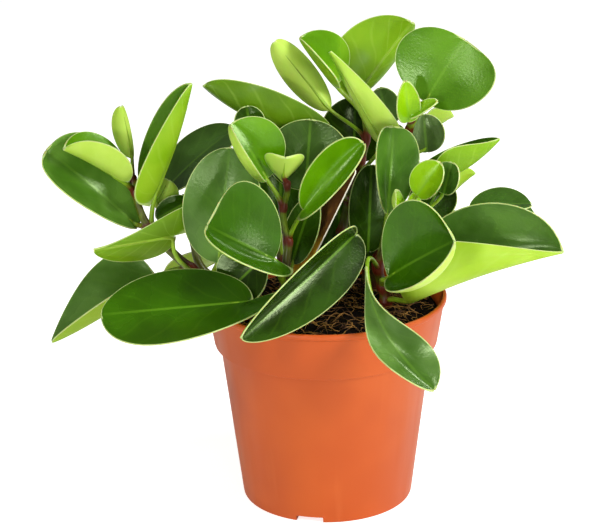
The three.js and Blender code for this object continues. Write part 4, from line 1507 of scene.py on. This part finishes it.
@dataclass
class Soil:
    """Peat with lumps, crumbs and a loose mat of coir fibres."""

    MOUND = (1.4, 0.05, 3.0)
    LUMPS = (1.3, 0.16, 9.0)
    GRIT = (0.9, 0.5, 5.0)
    SUNK = 0.6
    CRUMB_SIZES = (0.35, 1.15)
    FIBRE_STEPS = 7
    FIBRE_STRIDES = (1.0, 3.0)
    FIBRE_HUMPS = (0.2, 2.6)
    FIBRE_RADII = (0.13, 0.3)

    top_z: float = 97.0
    top_radius: float = 55.2
    shoulder_z: float = 82.0
    shoulder_radius: float = 52.6
    floor_z: float = 5.3
    floor_radius: float = 41.0
    cells: int = 110
    crumbs: int = 520
    fibres: int = 420
    seed: int = 11

    def height_at(self, x: float, y: float) -> float:
        """The height of the soil at a place, in millimetres."""
        away = math.hypot(x, y) / self.top_radius
        mound, lumps, grit = (
            height * noise.noise(Vector((x * scale, y * scale, layer)))
            for height, scale, layer in (self.MOUND, self.LUMPS, self.GRIT)
        )
        return self.top_z - self.SUNK + (mound + lumps) * (1 - away**6) + abs(grit)

    def bed(self) -> Piece:
        """Builds the soil: a round lumpy top drawn down to the pot's floor.

        Returns:
            The closed bed.
        """
        rows = []
        for row in range(self.cells + 1):
            line = []
            for column in range(self.cells + 1):
                u = 2 * column / self.cells - 1
                v = 2 * row / self.cells - 1
                x = self.top_radius * u * math.sqrt(1 - v * v / 2)
                y = self.top_radius * v * math.sqrt(1 - u * u / 2)
                line.append(Vector((x, y, self.height_at(x, y))))
            rows.append(line)
        bed = sheet_of(rows, {})
        with editing():
            bpy.ops.mesh.region_to_loop()
            draw_on(self.shoulder_z - self.top_z, self.shoulder_radius / self.top_radius)
            draw_on(self.floor_z - self.shoulder_z, self.floor_radius / self.shoulder_radius)
            bpy.ops.mesh.edge_face_add()
        bpy.ops.object.shade_smooth_by_angle(angle=math.radians(60))
        return bed

    def scatter(self, pick: random.Random, spread: float) -> Pair:
        """Picks a place on the soil, in millimetres, within a share of its radius."""
        angle = pick.uniform(0, 2 * math.pi)
        away = self.top_radius * spread * math.sqrt(pick.random())
        return away * math.cos(angle), away * math.sin(angle)

    def crumb_heap(self, pick: random.Random) -> Piece:
        """Scatters small angular crumbs.

        Args:
            pick: The source of chance.

        Returns:
            The crumbs as one object.
        """
        heap = new_piece(bpy.ops.mesh.primitive_ico_sphere_add, subdivisions=1, radius=MM)
        made = bmesh.new()
        for _ in range(self.crumbs):
            x, y = self.scatter(pick, 0.97)
            size = pick.uniform(*self.CRUMB_SIZES)
            spot = Vector((x, y, self.height_at(x, y) + size * 0.25)) * MM
            axis = (pick.gauss(0, 1), pick.gauss(0, 1), pick.gauss(0, 1))
            turn = Quaternion(axis, pick.uniform(0, 6)).to_matrix()
            shape = Matrix.Diagonal((size, size * pick.uniform(0.5, 0.9), size * pick.uniform(0.4, 0.8)))
            place = Matrix.Translation(spot) @ (turn @ shape).to_4x4()
            before = len(made.verts)
            made.from_mesh(heap.data)
            made.verts.ensure_lookup_table()
            for vertex in made.verts[before:]:
                vertex.co = place @ (vertex.co * pick.uniform(0.8, 1.15))
        made.to_mesh(heap.data)
        made.free()
        return heap

    def fibre(self, pick: random.Random) -> list[Ring]:
        """Runs one loose fibre over the soil.

        Args:
            pick: The source of chance.

        Returns:
            Its rings.
        """
        x, y = self.scatter(pick, 0.93)
        heading = pick.uniform(0, 2 * math.pi)
        bend = pick.gauss(0, 0.35)
        stride = pick.uniform(*self.FIBRE_STRIDES)
        hump = pick.uniform(*self.FIBRE_HUMPS)
        thick = pick.uniform(*self.FIBRE_RADII)
        rings = []
        for step in range(self.FIBRE_STEPS + 1):
            share = step / self.FIBRE_STEPS
            if math.hypot(x, y) > self.top_radius - 1:
                break
            lift = hump * math.sin(math.pi * share) + 0.25
            radius = thick * (0.35 + 0.65 * math.sin(math.pi * (0.08 + 0.84 * share)))
            rings.append(Ring(Vector((x, y, self.height_at(x, y) + lift)), radius))
            x += stride * math.cos(heading)
            y += stride * math.sin(heading)
            heading += bend + pick.gauss(0, 0.25)
        return rings

    def mat(self, pick: random.Random) -> Piece:
        """Lays the loose fibres.

        Args:
            pick: The source of chance.

        Returns:
            The fibres as one object.
        """
        mat = new_piece(bpy.ops.mesh.primitive_circle_add, vertices=3, radius=MM)
        made = bmesh.new()
        for _ in range(self.fibres):
            rings = self.fibre(pick)
            if len(rings) < 3:
                continue
            loops = []
            for index, ring in enumerate(rings):
                before = rings[max(index - 1, 0)].centre
                after = rings[min(index + 1, len(rings) - 1)].centre
                way = (after - before).normalized()
                side = way.cross(Vector((0, 0, 1))).normalized()
                top = side.cross(way)
                corners = [side * math.cos(turn) + top * math.sin(turn) for turn in (0, 2.1, 4.2)]
                points = [(ring.centre + corner * ring.radius) * MM for corner in corners]
                loops.append([made.verts.new(point) for point in points])
            for near, far in zip(loops, loops[1:]):
                for corner in range(3):
                    after = (corner + 1) % 3
                    made.faces.new((near[corner], near[after], far[after], far[corner]))
            made.faces.new(loops[0][::-1])
            made.faces.new(loops[-1])
        bmesh.ops.recalc_face_normals(made, faces=made.faces)
        made.to_mesh(mat.data)
        made.free()
        only(mat)
        bpy.ops.object.shade_smooth()
        return mat

    def build(self) -> None:
        """Builds and dresses the soil."""
        pick = random.Random(self.seed)
        peat = Peat().material()
        bed = self.bed()
        heap = self.crumb_heap(pick)
        bed.data.materials.append(peat)
        heap.data.materials.append(peat)
        mat = self.mat(pick)
        mat.data.materials.append(Coir().material())
        settle(join([bed, heap, mat], "peat_and_coir"), "soil")


@dataclass
class PlantLabel:
    """The thin plain card pushed into the soil, leaning to the right."""

    width: float = 13.0
    thickness: float = 0.8
    top: Triple = (16.0, 2.0, 167.0)
    foot: Triple = (-24.4, -8.3, 89.0)
    across: Triple = (-0.45, 0.89, 0.0)
    corner: float = 2.0
    bow: float = 0.5
    rows: int = 24

    def build(self) -> None:
        """Builds and dresses the card."""
        foot = Vector(self.foot)
        rise = Vector(self.top) - foot
        height = rise.length
        up = rise.normalized()
        across = Vector(self.across)
        across = (across - up * across.dot(up)).normalized()
        out = across.cross(up)
        rows = []
        for row in range(self.rows + 1):
            share = (1 - math.cos(math.pi * row / self.rows)) / 2
            from_end = min(share, 1 - share) * height
            pulled = self.corner - math.sqrt(max(self.corner**2 - max(self.corner - from_end, 0) ** 2, 0))
            half = self.width / 2 - pulled
            middle = foot + up * (share * height) + across * (self.width / 2)
            middle += out * (self.bow * math.sin(math.pi * share))
            rows.append([middle + across * (half * side) for side in (1, 0.5, 0, -0.5, -1)])
        card = sheet_of(rows, {})
        card.name = "blank_plant_label"
        # The face turns from golden to brown towards the top, partly painted shade of the leaves over the
        # card.
        face = CardStock("card_face", srgb(96, 56, 22), srgb(236, 168, 44), (126, 142)).material()
        edge = CardStock("card_edge", srgb(250, 244, 224), srgb(236, 206, 150), (92, 110)).material()
        for material in (face, face, edge):
            card.data.materials.append(material)
        thicken(card, self.thickness, 0.12)
        only(card)
        bpy.ops.object.shade_smooth_by_angle(angle=math.radians(40))
        settle(card, "plant_label")


@dataclass(frozen=True)
class Softbox:
    """One soft round light: its name, its place and width in metres, and its power in watts."""

    name: str
    place: Triple
    width: float
    watts: float


SOFTBOXES = (
    Softbox("key", (1.0, -0.7, 0.75), 0.5, 14.5),
    Softbox("left", (-0.8, -0.75, 0.95), 0.3, 4.0),
    Softbox("top", (0.6, 0.25, 1.25), 0.35, 6.0),
    Softbox("front_left", (-0.62, -1.12, 0.22), 0.14, 3.6),
    Softbox("front_right", (0.3, -1.25, 0.22), 0.12, 1.6),
)


@dataclass
class Studio:
    """The pale floor, the soft lights and the camera at the photograph's place."""

    LIT_POINT = (0, 0, 0.12)
    FLOOR_TINTS = ((0.9, 0.9, 0.9, 1), (0.93, 0.93, 0.93, 1))

    target: Triple = (-0.0123, 0.0, 0.1205)
    distance: float = 1.0
    elevation_deg: float = 18.7
    roll_deg: float = -0.9
    focal_px: float = 2030.0
    sensor_mm: float = 36.0

    @staticmethod
    def put(name: str, data: bpy.types.ID, place: Vector | Triple, turn: Quaternion) -> Piece:
        """Puts a camera or a light in the scene.

        Args:
            name: Its name.
            data: The camera's or the light's own data.
            place: Where it stands, in metres.
            turn: How it is turned.

        Returns:
            The object.
        """
        thing = bpy.data.objects.new(name, data)
        bpy.context.scene.collection.objects.link(thing)
        thing.location = place
        thing.rotation_mode = "QUATERNION"
        thing.rotation_quaternion = turn
        return thing

    def camera(self) -> None:
        """Places the camera."""
        lens = bpy.data.cameras.new("camera")
        lens.sensor_fit = "HORIZONTAL"
        lens.sensor_width = self.sensor_mm
        lens.lens = self.focal_px / PICTURE_WIDTH_PX * self.sensor_mm
        tilt = math.radians(self.elevation_deg)
        back = Vector((0, -math.cos(tilt), math.sin(tilt)))
        roll = Quaternion((0, 0, 1), math.radians(self.roll_deg))
        turn = (-back).to_track_quat("-Z", "Y") @ roll
        bpy.context.scene.camera = self.put("camera", lens, Vector(self.target) + back * self.distance, turn)

    def light(self, box: Softbox) -> None:
        """Adds one soft light that faces the plant."""
        lamp = bpy.data.lights.new(box.name, "AREA")
        lamp.shape = "DISK"
        lamp.size = box.width
        lamp.energy = box.watts
        way = Vector(self.LIT_POINT) - Vector(box.place)
        self.put(box.name, lamp, box.place, way.to_track_quat("-Z", "Y"))

    def floor(self) -> None:
        """Lays the pale floor."""
        floor = new_piece(bpy.ops.mesh.primitive_plane_add, size=14, location=(0, 4, 0))
        floor.name = "floor"
        material, graph, shader = new_material(
            "pale_floor",
            Roughness=0.9,
            Emission_Color=WHITE,
            Specular_IOR_Level=0.0,
        )
        graph.feed_all(
            shader,
            Emission_Strength=graph.for_camera(0.2, 0.75),
            Base_Color=graph.mix(graph.noise(3.0), *self.FLOOR_TINTS),
        )
        floor.data.materials.append(material)

    def build(self) -> None:
        """Sets up the studio."""
        self.camera()
        self.floor()
        for box in SOFTBOXES:
            self.light(box)
        world = bpy.context.scene.world or bpy.data.worlds.new("studio")
        bpy.context.scene.world = world
        world.use_nodes = True
        graph = Graph(world.node_tree)
        graph.feed_all(world.node_tree.nodes["Background"], Color=WHITE, Strength=graph.for_camera(0.15, 1.0))
        bpy.context.scene.view_settings.view_transform = "Standard"


def main() -> None:
    """Builds the studio, the pot, the soil, the label and the plant."""
    logging.basicConfig(level=logging.INFO, format="%(message)s")
    Studio().build()
    Pot().build()
    Soil().build()
    PlantLabel().build()
    Plant(STEMS).build()


if __name__ == "__main__":
    main()
